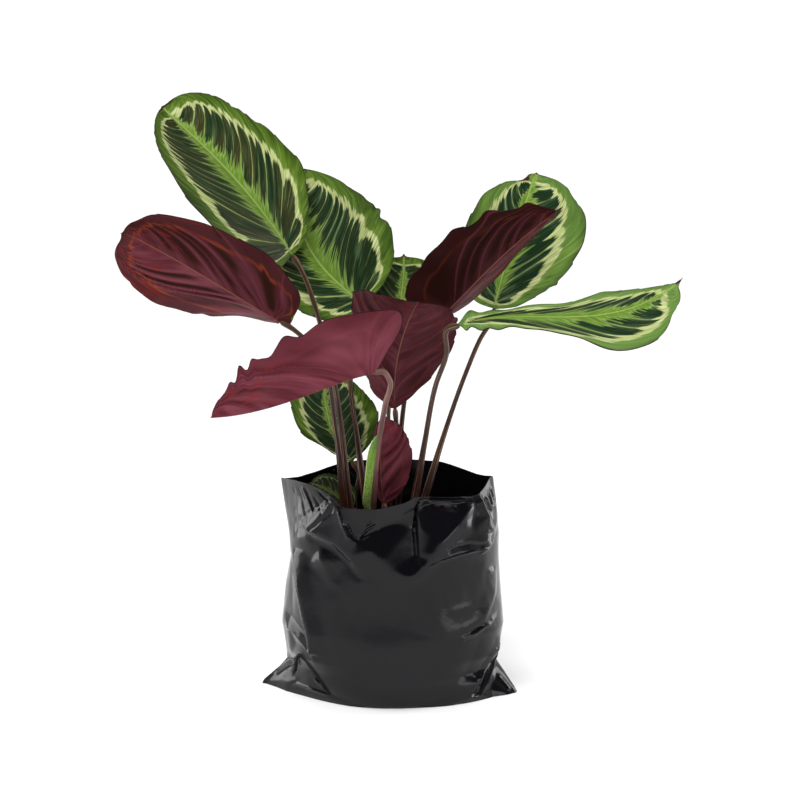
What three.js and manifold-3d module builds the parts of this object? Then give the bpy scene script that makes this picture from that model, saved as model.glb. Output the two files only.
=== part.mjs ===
// Potted calathea medallion: twelve leaves on their own stalks in a filled nursery bag.
// Millimetres, +Z up, origin at the middle of the bag's flat bottom, the viewer at -Y.
import * as THREE from "three";
import { mergeVertices } from "three/addons/utils/BufferGeometryUtils.js";
import Module from "manifold-3d";

const BLADE_THICK = 0.8;       // leaf blade, top face to underside
const RIB_AT_BASE = 1.5;       // extra depth of the midrib under the blade
const RIB_AT_TIP = 0.3;
const BASE_HALF = 1.9;         // half width of a blade where it leaves its stalk
const TIP_HALF = 0.6;
const STALK_GAP = 0.35;        // clear space between a stalk's end and its blade
const FOLD_RUN = 5;            // the fold beside the midrib is spread over this width
const BEND_STEPS = 24;         // a half blade's fold and curl are summed in this many steps
const LOBE_START = 0.12;       // a basal lobe starts at this share of the half width
const COLUMNS = [0, 0.07, 0.36, 0.7, 1];   // where a half blade is divided, midrib to margin
const SMALL_COLUMNS = [0, 0.12, 0.55, 1];
const SMALL_LEAF_ROWS = 20;
const RIB_SHARES = [1, 0.25];  // of the midrib's depth, at the midrib and one column beside it
const SMALL_RIB = 0.6;         // share of that depth on a small leaf
const WAVE_PHASES = [0.3, 0.7];            // where a margin's waves start, left and right
const WAVE_ENDS = 0.6;         // the waves grow from both ends of the blade by this power
const WAVE_SPREAD = 2.5;       // and from the midrib to the margin by this one

const STALK_SIDES = 8;
const STALK_STEP = 19;         // rings along a stalk are about this far apart
const STALK_FOOT = 130;
const STALK_UPRIGHT = 4;       // it stands upright until this far over the soil
const STALK_LEAD = 10;         // it runs straight into the blade's base from this far before it
const BLADE_LEAD = 8;          // and aims at a point of the midrib this far beyond it
const STALK_TAPER = 1.6;       // it is at its thinnest after 1 / this share of its length
const SHEATH_SWELL = 0.25;     // the leaf sheath widens the lower stalk by this share
const SHEATH_AT = 82;
const SHEATH_RUN = 32;
const JOINT_SWELL = 0.28;      // the joint that turns the blade to the light, just under it
const JOINT_AT = 7;
const JOINT_RUN = 6;
const NECK_END = 0.62;         // a stalk's end is drawn in to this share where it meets the midrib

const BAG_WALL = 1.2;
const BAG_FLOOR = 1.5;
const BAG_SIDES = 48;
const BAG_ROUNDNESS = 0.92;    // below 1 the bag is squarer than an ellipse, seen from above
const BAG_MM_PER_DEGREE = 1.6;
const BAG_FOLD_HEIGHT = 4;     // no crease reaches below this
const BOTTOM_ROUND = 4;
const EAR_WIDTH = 13;          // degrees to either side of the bottom seam's ends
const RIM_HEIGHT = 217;

const SOIL_CLEAR = 0.35;       // between the soil and the bag around it
const SOIL_TOP = 157;
const SOIL_RINGS = [0.84, 0.55, 0.22];
const SOIL_EDGE_DROP = 6;      // the soil's edge lies lower than its top, and this much further in
const SOIL_EDGE_INSET = 3;
const SOIL_DIP = 1;
const SOIL_CROWN = 3;
const SOIL_LUMPS = [{ high: 2.2, turn: 1.7, spin: 21 }, { high: 1.6, turn: 0.9, spin: -13 }];
const SOIL_FOOT_INSET = 1;
const HOLE_FLOOR = 129.7;
const HOLE_CLEAR = 0.9;
const HOLE_DEPTH = 60;
const HOLE_SIDES = 12;

const SURFACES = {
  leafTop: { color: "#2f5a22", roughness: 0.5 },
  leafUnder: { color: "#5a2f3b", roughness: 0.5 },
  youngLeaf: { color: "#6d7a2e", roughness: 0.5 },
  stalk: { color: "#4a3128", roughness: 0.6 },
  bag: { color: "#17181a", roughness: 0.25 },
  soil: { color: "#3a2a1e", roughness: 0.95 },
};

// One entry per leaf. midrib: four points the midrib runs through, base to tip. face: which way the upper
// side looks at the base and at the tip. left and right: the two halves seen from above with the tip ahead;
// half width, form [base, tip], lobe and shoulder in mm, fold and curl in degrees at base, middle and tip.
// stalk: where it stands in the soil, then the points it bends through. wing: the broad edge of a sheath.
const LEAVES = {
  a: {
    shows: "leafTop",
    midrib: [[-96, 15, 443], [-133, 12, 497], [-175, 25, 542], [-226, 48, 586]],
    face: [[0.3, -0.85, 0.45], [0.1, -0.8, 0.6]],
    left: { half: 60, form: [0.5, 0.45], lobe: 4, shoulder: 0, fold: [20, 22, 10], curl: [10, 10, 10] },
    right: { half: 63, form: [0.5, 0.4], lobe: 6, shoulder: 10, fold: [8, 4, 0], curl: [-5, -10, -5] },
    waves: 3, wave: 2.5, phases: [0.1, 0.5], rows: 24,
    stalk: [[-37, -7], [-43, -2, 215], [-49, 5, 278], [-67, 8, 369]], radii: [3.8, 2.4],
  },
  b: {
    shows: "leafTop",
    midrib: [[-25, 40, 388], [-62, 42, 421], [-87, 50, 461], [-93, 66, 524]],
    face: [[-0.1, -0.9, 0.4], [-0.1, -0.85, 0.5]],
    left: { half: 56, form: [0.5, 0.5], lobe: 4, shoulder: 0, fold: [15, 15, 5], curl: [5, 5, 5] },
    right: { half: 79, form: [0.42, 0.5], lobe: 16, shoulder: 8, fold: [5, 5, 5], curl: [-10, -15, -10] },
    waves: 3, wave: 2.5, rows: 24,
    stalk: [[-20, 1], [-27, 10, 215], [-32, 18, 254], [-38, 32, 325]], radii: [3.6, 2.4],
  },
  c: {
    shows: "leafUnder",
    midrib: [[-107, -30, 384], [-149, -38, 411], [-197, -46, 442], [-258, -38, 474]],
    face: [[0.05, 0.95, 0.25], [0.05, 0.95, 0.25]],
    left: { half: 48, form: [0.42, 0.5], lobe: 30, shoulder: 4, fold: [5, 5, 5], curl: [5, 5, 5] },
    right: { half: 64, form: [0.45, 0.4], lobe: 0, shoulder: 24, fold: [62, 22, 0], curl: [0, 5, 10] },
    waves: 3, wave: 3, rows: 24,
    stalk: [[-43, -17], [-47, -17, 215], [-53, -19, 272], [-68, -26, 346]], radii: [3.6, 2.3],
  },
  d: {
    shows: "leafTop",
    midrib: [[-1, 55, 288], [3, 62, 333], [11, 72, 383], [15, 85, 431]],
    face: [[0.05, -0.9, 0.4], [0.05, -0.85, 0.5]],
    left: { half: 50, form: [0.5, 0.55], lobe: 6, shoulder: 6, fold: [5, 5, 5], curl: [5, 5, 5] },
    right: { half: 50, form: [0.5, 0.55], lobe: 6, shoulder: 6, fold: [5, 5, 5], curl: [5, 5, 5] },
    waves: 3, wave: 2.5, rows: 22,
    stalk: [[-7, 9], [-2, 20, 205], [-1, 36, 250]], radii: [3.2, 2],
  },
  e: {
    shows: "leafUnder",
    midrib: [[54, -20, 389], [84, -26, 421], [117, -28, 454], [164, -18, 491]],
    face: [[0.1, 0.98, 0.15], [0.1, 0.98, 0.15]],
    left: { half: 52, form: [0.6, 0.5], lobe: 0, shoulder: 0, fold: [62, 62, 55], curl: [0, 0, 0] },
    right: { half: 51, form: [0.4, 0.6], lobe: 38, shoulder: 6, fold: [0, 0, 0], curl: [5, 5, 5] },
    waves: 3, wave: 3, rows: 24,
    stalk: [[2, -1], [8, 1, 215], [12, 2, 258], [21, -6, 321]], radii: [3.6, 2.3],
  },
  f: {
    shows: "leafUnder",
    midrib: [[-15, -125, 351], [-55, -137, 341], [-107, -148, 324], [-166, -155, 314]],
    face: [[0, 0.2, 0.98], [0.1, 0.2, 0.98]],
    left: { half: 60, form: [0.15, 0.47], lobe: 44, shoulder: 0, fold: [76, 76, 60], curl: [8, 8, 8] },
    right: { half: 52, form: [0.3, 0.5], lobe: 14, shoulder: 0, fold: [78, 78, 10], curl: [5, 5, 5] },
    waves: 3, wave: 3, rows: 24,
    stalk: [[-18, -24], [-16, -38, 205], [-10, -72, 272], [-3, -100, 316], [1, -116, 342]], radii: [3.8, 2.6],
    wing: { from: 188, to: 264, reach: 9 },
  },
  g: {
    shows: "leafUnder",
    midrib: [[6, -25, 296], [7, -42, 340], [15, -68, 380], [27, -100, 413]],
    face: [[0, 0.9, 0.3], [0, 0.5, 0.85]],
    left: { half: 54, form: [0.75, 0.5], lobe: 0, shoulder: 6, fold: [5, 5, 5], curl: [5, 5, 5] },
    right: { half: 60, form: [1, 0.36], lobe: 0, shoulder: 10, fold: [5, 5, 5], curl: [5, 5, 5] },
    waves: 3, wave: 3, rows: 24,
    stalk: [[8, -10], [10, -7, 205], [11, -9, 245]], radii: [3.4, 2.2],
  },
  h: {
    shows: "leafTop",
    midrib: [[67, -86, 390], [135, -98, 400], [205, -106, 404], [273, -104, 433]],
    face: [[0, 0.1, 1], [0, -1, 0.3]],
    left: { half: 46, form: [0.5, 0.55], lobe: 0, shoulder: 0, fold: [0, -25, -25], curl: [0, 0, 0] },
    right: { half: 57, form: [0.6, 0.48], lobe: 0, shoulder: 0, fold: [0, 10, 0], curl: [5, 25, 0] },
    waves: 3, wave: 3, rows: 24,
    stalk: [[15, -19], [22, -25, 205], [32, -40, 262], [46, -62, 327], [56, -75, 360]], radii: [3.6, 2.5],
  },
  i: {
    shows: "leafTop",
    midrib: [[106, 36, 386], [117, 38, 430], [132, 46, 477], [148, 66, 518]],
    face: [[-0.05, -0.9, 0.4], [-0.05, -0.85, 0.5]],
    left: { half: 50, form: [0.45, 0.5], lobe: 4, shoulder: 0, fold: [5, 5, 5], curl: [5, 5, 5] },
    right: { half: 68, form: [0.62, 0.45], lobe: 0, shoulder: 6, fold: [5, 5, 5], curl: [5, 5, 5] },
    waves: 3, wave: 3, rows: 24,
    stalk: [[21, -3], [34, 2, 205], [49, 12, 255], [77, 24, 320]], radii: [3.6, 2.3],
  },
  j: {
    shows: "leafTop",
    midrib: [[-38, 30, 229], [-54, 32, 253], [-64, 36, 283], [-64, 42, 322]],
    face: [[-0.1, -0.9, 0.4], [-0.1, -0.85, 0.5]],
    left: { half: 36, form: [0.8, 0.5], lobe: 0, shoulder: 6, fold: [5, 5, 5], curl: [5, 5, 5] },
    right: { half: 50, form: [0.5, 0.5], lobe: 8, shoulder: 6, fold: [5, 5, 5], curl: [5, 5, 5] },
    waves: 2, wave: 2, rows: 16,
    stalk: [[-34, 18], [-35, 25, 192]], radii: [3, 2],
  },
  k: {
    shows: "leafUnder",
    midrib: [[-5, -28, 200], [-8, -31, 230], [-8, -34, 258], [-3, -32, 287]],
    face: [[0, 0.9, 0.3], [0, 0.9, 0.3]],
    left: { half: 28, form: [0.5, 0.5], lobe: 0, shoulder: 6, fold: [5, 5, 5], curl: [5, 5, 5] },
    right: { half: 18, form: [0.5, 0.5], lobe: 0, shoulder: 6, fold: [50, 60, 50], curl: [5, 5, 5] },
    waves: 3, wave: 1.5, rows: 16,
    stalk: [[-4, -19], [-4, -24, 182]], radii: [2.6, 2],
  },
  l: {
    shows: "youngLeaf",
    midrib: [[-38, 8, 194], [-52, 17, 205], [-68, 26, 215], [-87, 36, 221]],
    face: [[-0.1, -0.5, 0.8], [-0.1, -0.5, 0.8]],
    left: { half: 20, form: [0.5, 0.5], lobe: 0, shoulder: 6, fold: [5, 5, 5], curl: [5, 5, 5] },
    right: { half: 20, form: [0.5, 0.5], lobe: 0, shoulder: 6, fold: [5, 5, 5], curl: [5, 5, 5] },
    waves: 2, wave: 1.5, rows: 12,
    stalk: [[-28, 8]], radii: [2.4, 1.8],
  },
};

// Bag outline by height: half widths to the left, right, front and back, and how far its corners reach.
const BAG_LEVELS = [
  { z: 0, left: 96, right: 101, front: 62, back: 62, ear: 8 },
  { z: 5, left: 104, right: 108, front: 69, back: 69, ear: 22 },
  { z: 16, left: 104, right: 109, front: 71, back: 71, ear: 12 },
  { z: 34, left: 103, right: 110, front: 73, back: 73, ear: 3 },
  { z: 58, left: 104, right: 113, front: 74, back: 74, ear: 0 },
  { z: 82, left: 107, right: 115, front: 75, back: 75, ear: 0 },
  { z: 110, left: 105, right: 114, front: 76, back: 76, ear: 0 },
  { z: 138, left: 101, right: 111, front: 77, back: 77, ear: 0 },
  { z: 164, left: 102, right: 110, front: 78, back: 78, ear: 0 },
  { z: 190, left: 105, right: 108, front: 78, back: 79, ear: 0 },
  { z: RIM_HEIGHT, left: 109, right: 105, front: 78, back: 80, ear: 0 },
];
// The rim dips and rises with the angle, seen from above and counted from +X towards the back.
const RIM_DIPS = [
  { angle: 238, width: 26, drop: 13 }, { angle: 266, width: 22, drop: 9 }, { angle: 300, width: 14, drop: 6 },
  { angle: 284, width: 8, drop: -3 }, { angle: 150, width: 20, drop: -3 },
];
// Creases pressed into the film: from and to as [angle, height], depth inwards, and half width across.
const CREASES = [
  { from: [250, 196], to: [262, 150], depth: 7, wide: 12 },
  { from: [283, 212], to: [284, 160], depth: -4, wide: 8 },
  { from: [262, 150], to: [292, 150], depth: 5, wide: 12 },
  { from: [184, 146], to: [205, 58], depth: 4, wide: 10 },
  { from: [196, 40], to: [232, 8], depth: 5, wide: 10 },
  { from: [290, 132], to: [330, 150], depth: 4, wide: 9 },
  { from: [318, 58], to: [352, 84], depth: 4, wide: 9 },
  { from: [338, 66], to: [310, 12], depth: 4, wide: 9 },
  { from: [60, 190], to: [75, 90], depth: 4, wide: 12 },
  { from: [120, 150], to: [100, 40], depth: 4, wide: 12 },
];

const rad = THREE.MathUtils.degToRad;
const lerp = THREE.MathUtils.lerp;
const vector = ([x, y, z]) => new THREE.Vector3(x, y, z);
// A value given at the base, in the middle and at the tip.
const along = ([a, b, c], t) => a * (1 - t) * (1 - 2 * t) + 4 * b * t * (1 - t) + c * t * (2 * t - 1);
const bell = (away, width) => Math.exp(-Math.pow(away / width, 2));
// What is left of a vector at right angles to a direction, at length 1.
const squareTo = (v, direction) => v.clone().addScaledVector(direction, -v.dot(direction)).normalize();

// The midrib is the cubic curve that runs through its four points at even steps.
function midribCurve(points) {
  const [p0, p1, p2, p3] = points.map(vector);
  const mix = (a, b, c, d) => p0.clone().multiplyScalar(a).addScaledVector(p1, b).addScaledVector(p2, c)
    .addScaledVector(p3, d).divideScalar(6);
  return new THREE.CubicBezierCurve3(p0, mix(-5, 18, -9, 2), mix(2, -9, 18, -5), p3);
}

// Width of a half blade as a share of its widest place, from 0 at the base to 0 at the tip.
function widthShare([base, tip], t) {
  const widest = base / (base + tip);
  return Math.pow(t / widest, base) * Math.pow((1 - t) / (1 - widest), tip);
}

// A point of the blade's middle surface; t runs base to tip, v from -1 at the left margin to 1 at the right.
function bladePoint(leaf, rib, t, v) {
  const way = rib.getTangent(t);
  const look = vector(leaf.face[0]).normalize().multiplyScalar(1 - t)
    .addScaledVector(vector(leaf.face[1]).normalize(), t);
  const up = squareTo(look, way);
  const out = new THREE.Vector3().crossVectors(way, up);
  const side = v < 0 ? leaf.left : leaf.right;
  const q = Math.abs(v);
  const share = widthShare(side.form, t);
  const half = Math.max(side.half * share, lerp(BASE_HALF, TIP_HALF, t));
  let across = 0;
  let lift = 0;
  for (let k = 0; k < BEND_STEPS; k++) {
    const run = (k + 0.5) / BEND_STEPS * q;
    const turn = rad(along(side.fold, t) * Math.min(1, run * half / FOLD_RUN) + along(side.curl, t) * run);
    across += Math.cos(turn) * half * q / BEND_STEPS;
    lift += Math.sin(turn) * half * q / BEND_STEPS;
  }
  lift += leaf.wave * Math.pow(Math.sin(Math.PI * t), WAVE_ENDS) * Math.pow(q, WAVE_SPREAD)
    * Math.sin(2 * Math.PI * (leaf.waves * t + (leaf.phases ?? WAVE_PHASES)[v < 0 ? 0 : 1]));
  const lobe = Math.max(0, Math.min(share, 1) - LOBE_START) / (1 - LOBE_START);
  const sweep = q * q * lobe * (side.shoulder * Math.pow(t, 3) - side.lobe * Math.pow(1 - t, 3));
  return rib.getPoint(t).addScaledVector(out, across * Math.sign(v)).addScaledVector(up, lift)
    .addScaledVector(way, sweep);
}

function bodyFrom(points, index) {
  const geometry = new THREE.BufferGeometry().setFromPoints(points);
  geometry.setIndex(index);
  geometry.computeVertexNormals();
  return geometry;
}

// Closed body from a grid of middle-surface points: both faces split into triangles alike, then the rim.
// The base end is kept square to the midrib, so that it lies flat against the stalk's end.
function sheetBody(grid, baseWay, topOffset, underOffset) {
  const [rows, cols] = [grid.length, grid[0].length];
  const top = (i, j) => i * cols + j;
  const under = (i, j) => rows * cols + top(i, j);
  const faces = [];
  for (let i = 0; i + 1 < rows; i++) {
    for (let j = 0; j + 1 < cols; j++) {
      faces.push([top(i, j), top(i, j + 1), top(i + 1, j + 1)]);
      faces.push([top(i, j), top(i + 1, j + 1), top(i + 1, j)]);
    }
  }
  const middle = bodyFrom(grid.flat(), faces.flat());
  const normal = (i, j) => {
    const n = new THREE.Vector3().fromBufferAttribute(middle.attributes.normal, top(i, j));
    return i === 0 ? squareTo(n, baseWay) : n;
  };
  const shifted = (offset) => grid.map((row, i) => row.map((p, j) =>
    p.clone().addScaledVector(normal(i, j), offset(i, j))));
  const topFace = shifted(() => topOffset);
  const underFace = shifted((i, j) => -underOffset(i, j));
  const index = [...faces.flat(), ...faces.map(([a, b, c]) => [c, b, a]).flat().map((k) => k + rows * cols)];
  const rim = [];
  for (let j = 0; j + 1 < cols; j++) rim.push([0, j + 1, 0, j], [rows - 1, j, rows - 1, j + 1]);
  for (let i = 0; i + 1 < rows; i++) rim.push([i, 0, i + 1, 0], [i + 1, cols - 1, i, cols - 1]);
  for (const [i, j, k, l] of rim) {
    index.push(top(i, j), top(k, l), under(k, l), top(i, j), under(k, l), under(i, j));
  }
  return bodyFrom([...topFace.flat(), ...underFace.flat()], index);
}

function bladeBody(leaf) {
  const rib = midribCurve(leaf.midrib);
  const small = leaf.rows < SMALL_LEAF_ROWS;
  const across = small ? SMALL_COLUMNS : COLUMNS;
  const columns = [...across.slice(1).reverse().map((q) => -q), ...across];
  const middle = across.length - 1;
  const rowPlace = (i) => (1 - Math.cos(Math.PI * i / leaf.rows)) / 2;
  const grid = [];
  for (let i = 0; i <= leaf.rows; i++) grid.push(columns.map((v) => bladePoint(leaf, rib, rowPlace(i), v)));
  const ribDepth = (i, j) => {
    const share = RIB_SHARES[Math.abs(j - middle)] ?? 0;
    return lerp(RIB_AT_BASE, RIB_AT_TIP, rowPlace(i)) * share * (small ? SMALL_RIB : 1);
  };
  return sheetBody(grid, rib.getTangent(0), BLADE_THICK / 2, (i, j) => BLADE_THICK / 2 + ribDepth(i, j));
}

// Smooth curve through all points but the first and last, which only steer its ends; the slope at a point
// weighs its two neighbours by distance, so short and long stretches can follow one another.
function smoothPath(points, spacing) {
  const gap = (k) => points[k].distanceTo(points[k + 1]);
  const slope = (k) => {
    const before = points[k].clone().sub(points[k - 1]).multiplyScalar(gap(k) / gap(k - 1));
    const after = points[k + 1].clone().sub(points[k]).multiplyScalar(gap(k - 1) / gap(k));
    return before.add(after).divideScalar(gap(k - 1) + gap(k));
  };
  const line = [points[1]];
  for (let k = 1; k < points.length - 2; k++) {
    const steps = Math.max(2, Math.round(gap(k) / spacing));
    for (let i = 1; i <= steps; i++) {
      const f = i / steps;
      const [square, cube] = [f * f, f * f * f];
      line.push(points[k].clone().multiplyScalar(2 * cube - 3 * square + 1)
        .addScaledVector(points[k + 1], 3 * square - 2 * cube)
        .addScaledVector(slope(k), (cube - 2 * square + f) * gap(k))
        .addScaledVector(slope(k + 1), (cube - square) * gap(k)));
    }
  }
  return line;
}

// A stalk stands upright in its hole, widens in its sheath, and swells once more just under the blade.
function stalkBody(leaf) {
  const [[x, y], ...bends] = leaf.stalk;
  const rib = midribCurve(leaf.midrib);
  const way = rib.getTangent(0);
  const beyondBase = (distance) => rib.getPoint(0).addScaledVector(way, distance);
  const foot = new THREE.Vector3(x, y, STALK_FOOT);
  const path = [foot, new THREE.Vector3(x, y, SOIL_TOP + STALK_UPRIGHT), ...bends.map(vector),
    beyondBase(-STALK_LEAD), beyondBase(-STALK_GAP), beyondBase(BLADE_LEAD)];
  const line = [foot, ...smoothPath(path, STALK_STEP)];
  const length = [0];
  for (let i = 1; i < line.length; i++) length.push(length[i - 1] + line[i].distanceTo(line[i - 1]));
  const [total, end] = [length[line.length - 1], line.length - 1];
  const [thick, thin] = leaf.radii;
  const directionAt = (i) => {
    if (i === 0) return new THREE.Vector3(0, 0, 1);
    return (i === end ? way.clone() : line[i + 1].clone().sub(line[i - 1])).normalize();
  };
  let side = new THREE.Vector3(1, 0, 0);
  const rings = line.map((p, i) => {
    const direction = directionAt(i);
    side = squareTo(side, direction);
    const back = new THREE.Vector3().crossVectors(direction, side);
    const sheath = 1 + SHEATH_SWELL * bell(length[i] - SHEATH_AT, SHEATH_RUN);
    const joint = 1 + JOINT_SWELL * bell(total - length[i] - JOINT_AT, JOINT_RUN);
    const slim = lerp(thick, thin, Math.min(1, STALK_TAPER * length[i] / total));
    const radius = i < 2 ? thick : slim * sheath * joint * (i === end ? NECK_END : 1);
    const wing = leaf.wing ?? { from: 0, to: 1, reach: 0 };
    const share = THREE.MathUtils.clamp((p.z - wing.from) / (wing.to - wing.from), 0, 1);
    return Array.from({ length: STALK_SIDES }, (_, k) => {
      const angle = 2 * Math.PI * k / STALK_SIDES;
      const reach = radius + (k === STALK_SIDES / 2 ? wing.reach * Math.sin(Math.PI * share) : 0);
      return p.clone().addScaledVector(side, Math.cos(angle) * reach)
        .addScaledVector(back, Math.sin(angle) * radius);
    });
  });
  return stackBody(rings, [line[0], line[end]]);
}

const turnBetween = (a, b) => Math.abs(((a - b) % 360 + 540) % 360 - 180);

function rimHeight(angle) {
  const drops = RIM_DIPS.map((dip) => dip.drop * bell(turnBetween(angle, dip.angle), dip.width));
  return drops.reduce((height, drop) => height - drop, RIM_HEIGHT);
}

// How far the creases press the film in at an angle and a height.
function creaseDepth(angle, z) {
  const unrolled = ([a, h]) => new THREE.Vector3(a * BAG_MM_PER_DEGREE, h, 0);
  const place = unrolled([angle, z]);
  return CREASES.reduce((depth, crease) => {
    const line = new THREE.Line3(unrolled(crease.from), unrolled(crease.to));
    const nearest = line.closestPointToPoint(place, true, new THREE.Vector3());
    return depth + crease.depth * bell(nearest.distanceTo(place), crease.wide);
  }, 0);
}

// A point of the bag's outer face at an angle in degrees and a height, drawn inwards by inset.
function bagPoint(angle, z, inset, withEars) {
  const above = Math.max(1, BAG_LEVELS.findIndex((level) => level.z >= z));
  const [low, high] = z > RIM_HEIGHT ? BAG_LEVELS.slice(-2) : [BAG_LEVELS[above - 1], BAG_LEVELS[above]];
  const between = (key) => lerp(low[key], high[key], (z - low.z) / (high.z - low.z));
  const [c, s] = [Math.cos(rad(angle)), Math.sin(rad(angle))];
  const toSeam = Math.min(turnBetween(angle, 0), turnBetween(angle, 180));
  const ear = withEars ? between("ear") * bell(toSeam, EAR_WIDTH) : 0;
  const press = inset + (z < BAG_FOLD_HEIGHT ? 0 : creaseDepth(angle, z));
  const [wide, deep] = [between(c < 0 ? "left" : "right") - press, between(s < 0 ? "front" : "back") - press];
  const x = Math.sign(c) * (Math.pow(Math.abs(c), BAG_ROUNDNESS) * wide + ear);
  const y = Math.sign(s) * Math.pow(Math.abs(s), BAG_ROUNDNESS) * deep;
  return new THREE.Vector3(x, y, z);
}

const bagAngles = Array.from({ length: BAG_SIDES }, (_, k) => 360 * k / BAG_SIDES);
const ringAt = (z, inset, withEars = false) => bagAngles.map((angle) => bagPoint(angle, z, inset, withEars));
const rimRing = (inset) => bagAngles.map((angle) => bagPoint(angle, rimHeight(angle), inset, false));

// The bag's wall is straight between two levels, so a ring in between is drawn between their two rings.
function ringBetween(z, inset) {
  const above = BAG_LEVELS.findIndex((level) => level.z > z);
  const [low, high] = [BAG_LEVELS[above - 1].z, BAG_LEVELS[above].z];
  const over = ringAt(high, inset);
  return ringAt(low, inset).map((p, k) => p.lerp(over[k], (z - low) / (high - low)));
}

// Closed body from stacked rings, with a fan over the first and the last ring. Every cell is cut from its
// upper left to its lower right corner, so walls that face each other stay the same distance apart.
function stackBody(rings, centres) {
  const sides = rings[0].length;
  const index = [];
  for (let i = 0; i + 1 < rings.length; i++) {
    for (let k = 0; k < sides; k++) {
      const [a, b] = [i * sides + k, i * sides + (k + 1) % sides];
      if (rings[i + 1][k].z >= rings[i][k].z) index.push(a, b, a + sides, b, b + sides, a + sides);
      else index.push(a, b, b + sides, a, b + sides, a + sides);
    }
  }
  const [first, top] = [rings.length * sides, (rings.length - 1) * sides];
  for (let k = 0; k < sides; k++) {
    index.push(first, (k + 1) % sides, k);
    index.push(first + 1, top + k, top + (k + 1) % sides);
  }
  return bodyFrom([...rings.flat(), ...centres], index);
}

function bagBody() {
  const heights = BAG_LEVELS.slice(0, -1).map((level) => level.z);
  const outer = [...heights.map((z) => ringAt(z, 0, true)), rimRing(0)];
  const inner = [ringAt(BAG_FLOOR, BAG_WALL + BOTTOM_ROUND),
    ...heights.slice(1).map((z) => ringAt(z, BAG_WALL)), rimRing(BAG_WALL)];
  return stackBody([...outer, ...inner.reverse()], [new THREE.Vector3(), new THREE.Vector3(0, 0, BAG_FLOOR)]);
}

async function soilBody() {
  const inset = BAG_WALL + SOIL_CLEAR;
  const foot = BAG_FLOOR + SOIL_CLEAR;
  const levels = BAG_LEVELS.map((level) => level.z).filter((z) => z > 0 && z < SOIL_TOP);
  const edge = ringBetween(SOIL_TOP - SOIL_EDGE_DROP, inset + SOIL_EDGE_INSET);
  const crumbs = SOIL_RINGS.map((share) => edge.map((p, k) => {
    const lump = SOIL_LUMPS.reduce((sum, { high, turn, spin }) =>
      sum + high * Math.sin(k * turn + share * spin), 0);
    const height = SOIL_TOP - SOIL_DIP + SOIL_CROWN * (1 - share) + lump * share;
    return new THREE.Vector3(p.x * share, p.y * share, height);
  }));
  const rings = [ringAt(foot, inset + BOTTOM_ROUND + SOIL_FOOT_INSET),
    ...levels.map((z) => ringAt(z, inset)), edge, ...crumbs];
  const middles = [foot, SOIL_TOP - SOIL_DIP + SOIL_CROWN].map((z) => new THREE.Vector3(0, 0, z));
  const plain = stackBody(rings, middles);
  const wasm = await Module();
  wasm.setup();
  const solid = (geometry) => {
    geometry.deleteAttribute("normal");
    geometry.deleteAttribute("uv");
    const merged = mergeVertices(geometry);
    return new wasm.Manifold(new wasm.Mesh({
      numProp: 3,
      vertProperties: new Float32Array(merged.attributes.position.array),
      triVerts: new Uint32Array(merged.index.array),
    }));
  };
  let body = solid(plain);
  for (const leaf of Object.values(LEAVES)) {
    const radius = leaf.radii[0] + HOLE_CLEAR;
    const hole = new THREE.CylinderGeometry(radius, radius, HOLE_DEPTH, HOLE_SIDES);
    hole.rotateX(Math.PI / 2).translate(...leaf.stalk[0], HOLE_FLOOR + HOLE_DEPTH / 2);
    body = body.subtract(solid(hole));
  }
  const { vertProperties, triVerts } = body.getMesh();
  const geometry = new THREE.BufferGeometry();
  geometry.setAttribute("position", new THREE.BufferAttribute(vertProperties, 3));
  geometry.setIndex(new THREE.BufferAttribute(triVerts, 1));
  geometry.computeVertexNormals();
  return geometry;
}

function meshOf(name, geometry, surface) {
  const mesh = new THREE.Mesh(geometry, new THREE.MeshStandardMaterial({ ...surface, metalness: 0 }));
  mesh.name = name;
  return mesh;
}

const plant = new THREE.Group();
plant.name = "potted_calathea_medallion";
plant.add(meshOf("bag", bagBody(), SURFACES.bag));
plant.add(meshOf("soil", await soilBody(), SURFACES.soil));
for (const [letter, leaf] of Object.entries(LEAVES)) {
  plant.add(meshOf(`leaf_${letter}_blade`, bladeBody(leaf), SURFACES[leaf.shows]));
  plant.add(meshOf(`leaf_${letter}_stalk`, stalkBody(leaf), SURFACES.stalk));
}
export default plant;
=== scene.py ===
import math
from string import ascii_uppercase
import bpy
import numpy as np
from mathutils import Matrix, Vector
from mathutils.geometry import delaunay_2d_cdt


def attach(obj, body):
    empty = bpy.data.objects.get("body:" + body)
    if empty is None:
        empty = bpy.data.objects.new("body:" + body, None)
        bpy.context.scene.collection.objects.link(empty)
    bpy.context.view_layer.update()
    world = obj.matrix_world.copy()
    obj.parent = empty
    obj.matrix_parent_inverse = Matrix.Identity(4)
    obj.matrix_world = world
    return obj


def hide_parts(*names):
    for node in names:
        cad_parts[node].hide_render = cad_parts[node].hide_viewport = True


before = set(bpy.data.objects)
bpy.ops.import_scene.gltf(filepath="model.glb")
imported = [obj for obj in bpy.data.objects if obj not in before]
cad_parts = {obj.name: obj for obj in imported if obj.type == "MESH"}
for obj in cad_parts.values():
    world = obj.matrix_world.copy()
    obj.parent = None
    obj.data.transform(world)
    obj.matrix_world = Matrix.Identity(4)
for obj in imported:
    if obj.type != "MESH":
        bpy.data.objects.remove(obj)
bpy.ops.object.select_all(action="DESELECT")
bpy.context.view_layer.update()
print("frame loaded:", len(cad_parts), "nodes")

mm = 0.001
upright = np.array([0.0, 0.0, 1.0])


# small sums that several pieces share

def unit(v):
    return v / np.maximum(np.linalg.norm(v, axis=-1, keepdims=True), 1e-9)


def mix(a, b, f):
    return a + (b - a) * f


def smooth(low, high, x):
    f = np.clip((x - low) / (high - low), 0, 1)
    return f * f * (3 - 2 * f)


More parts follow.
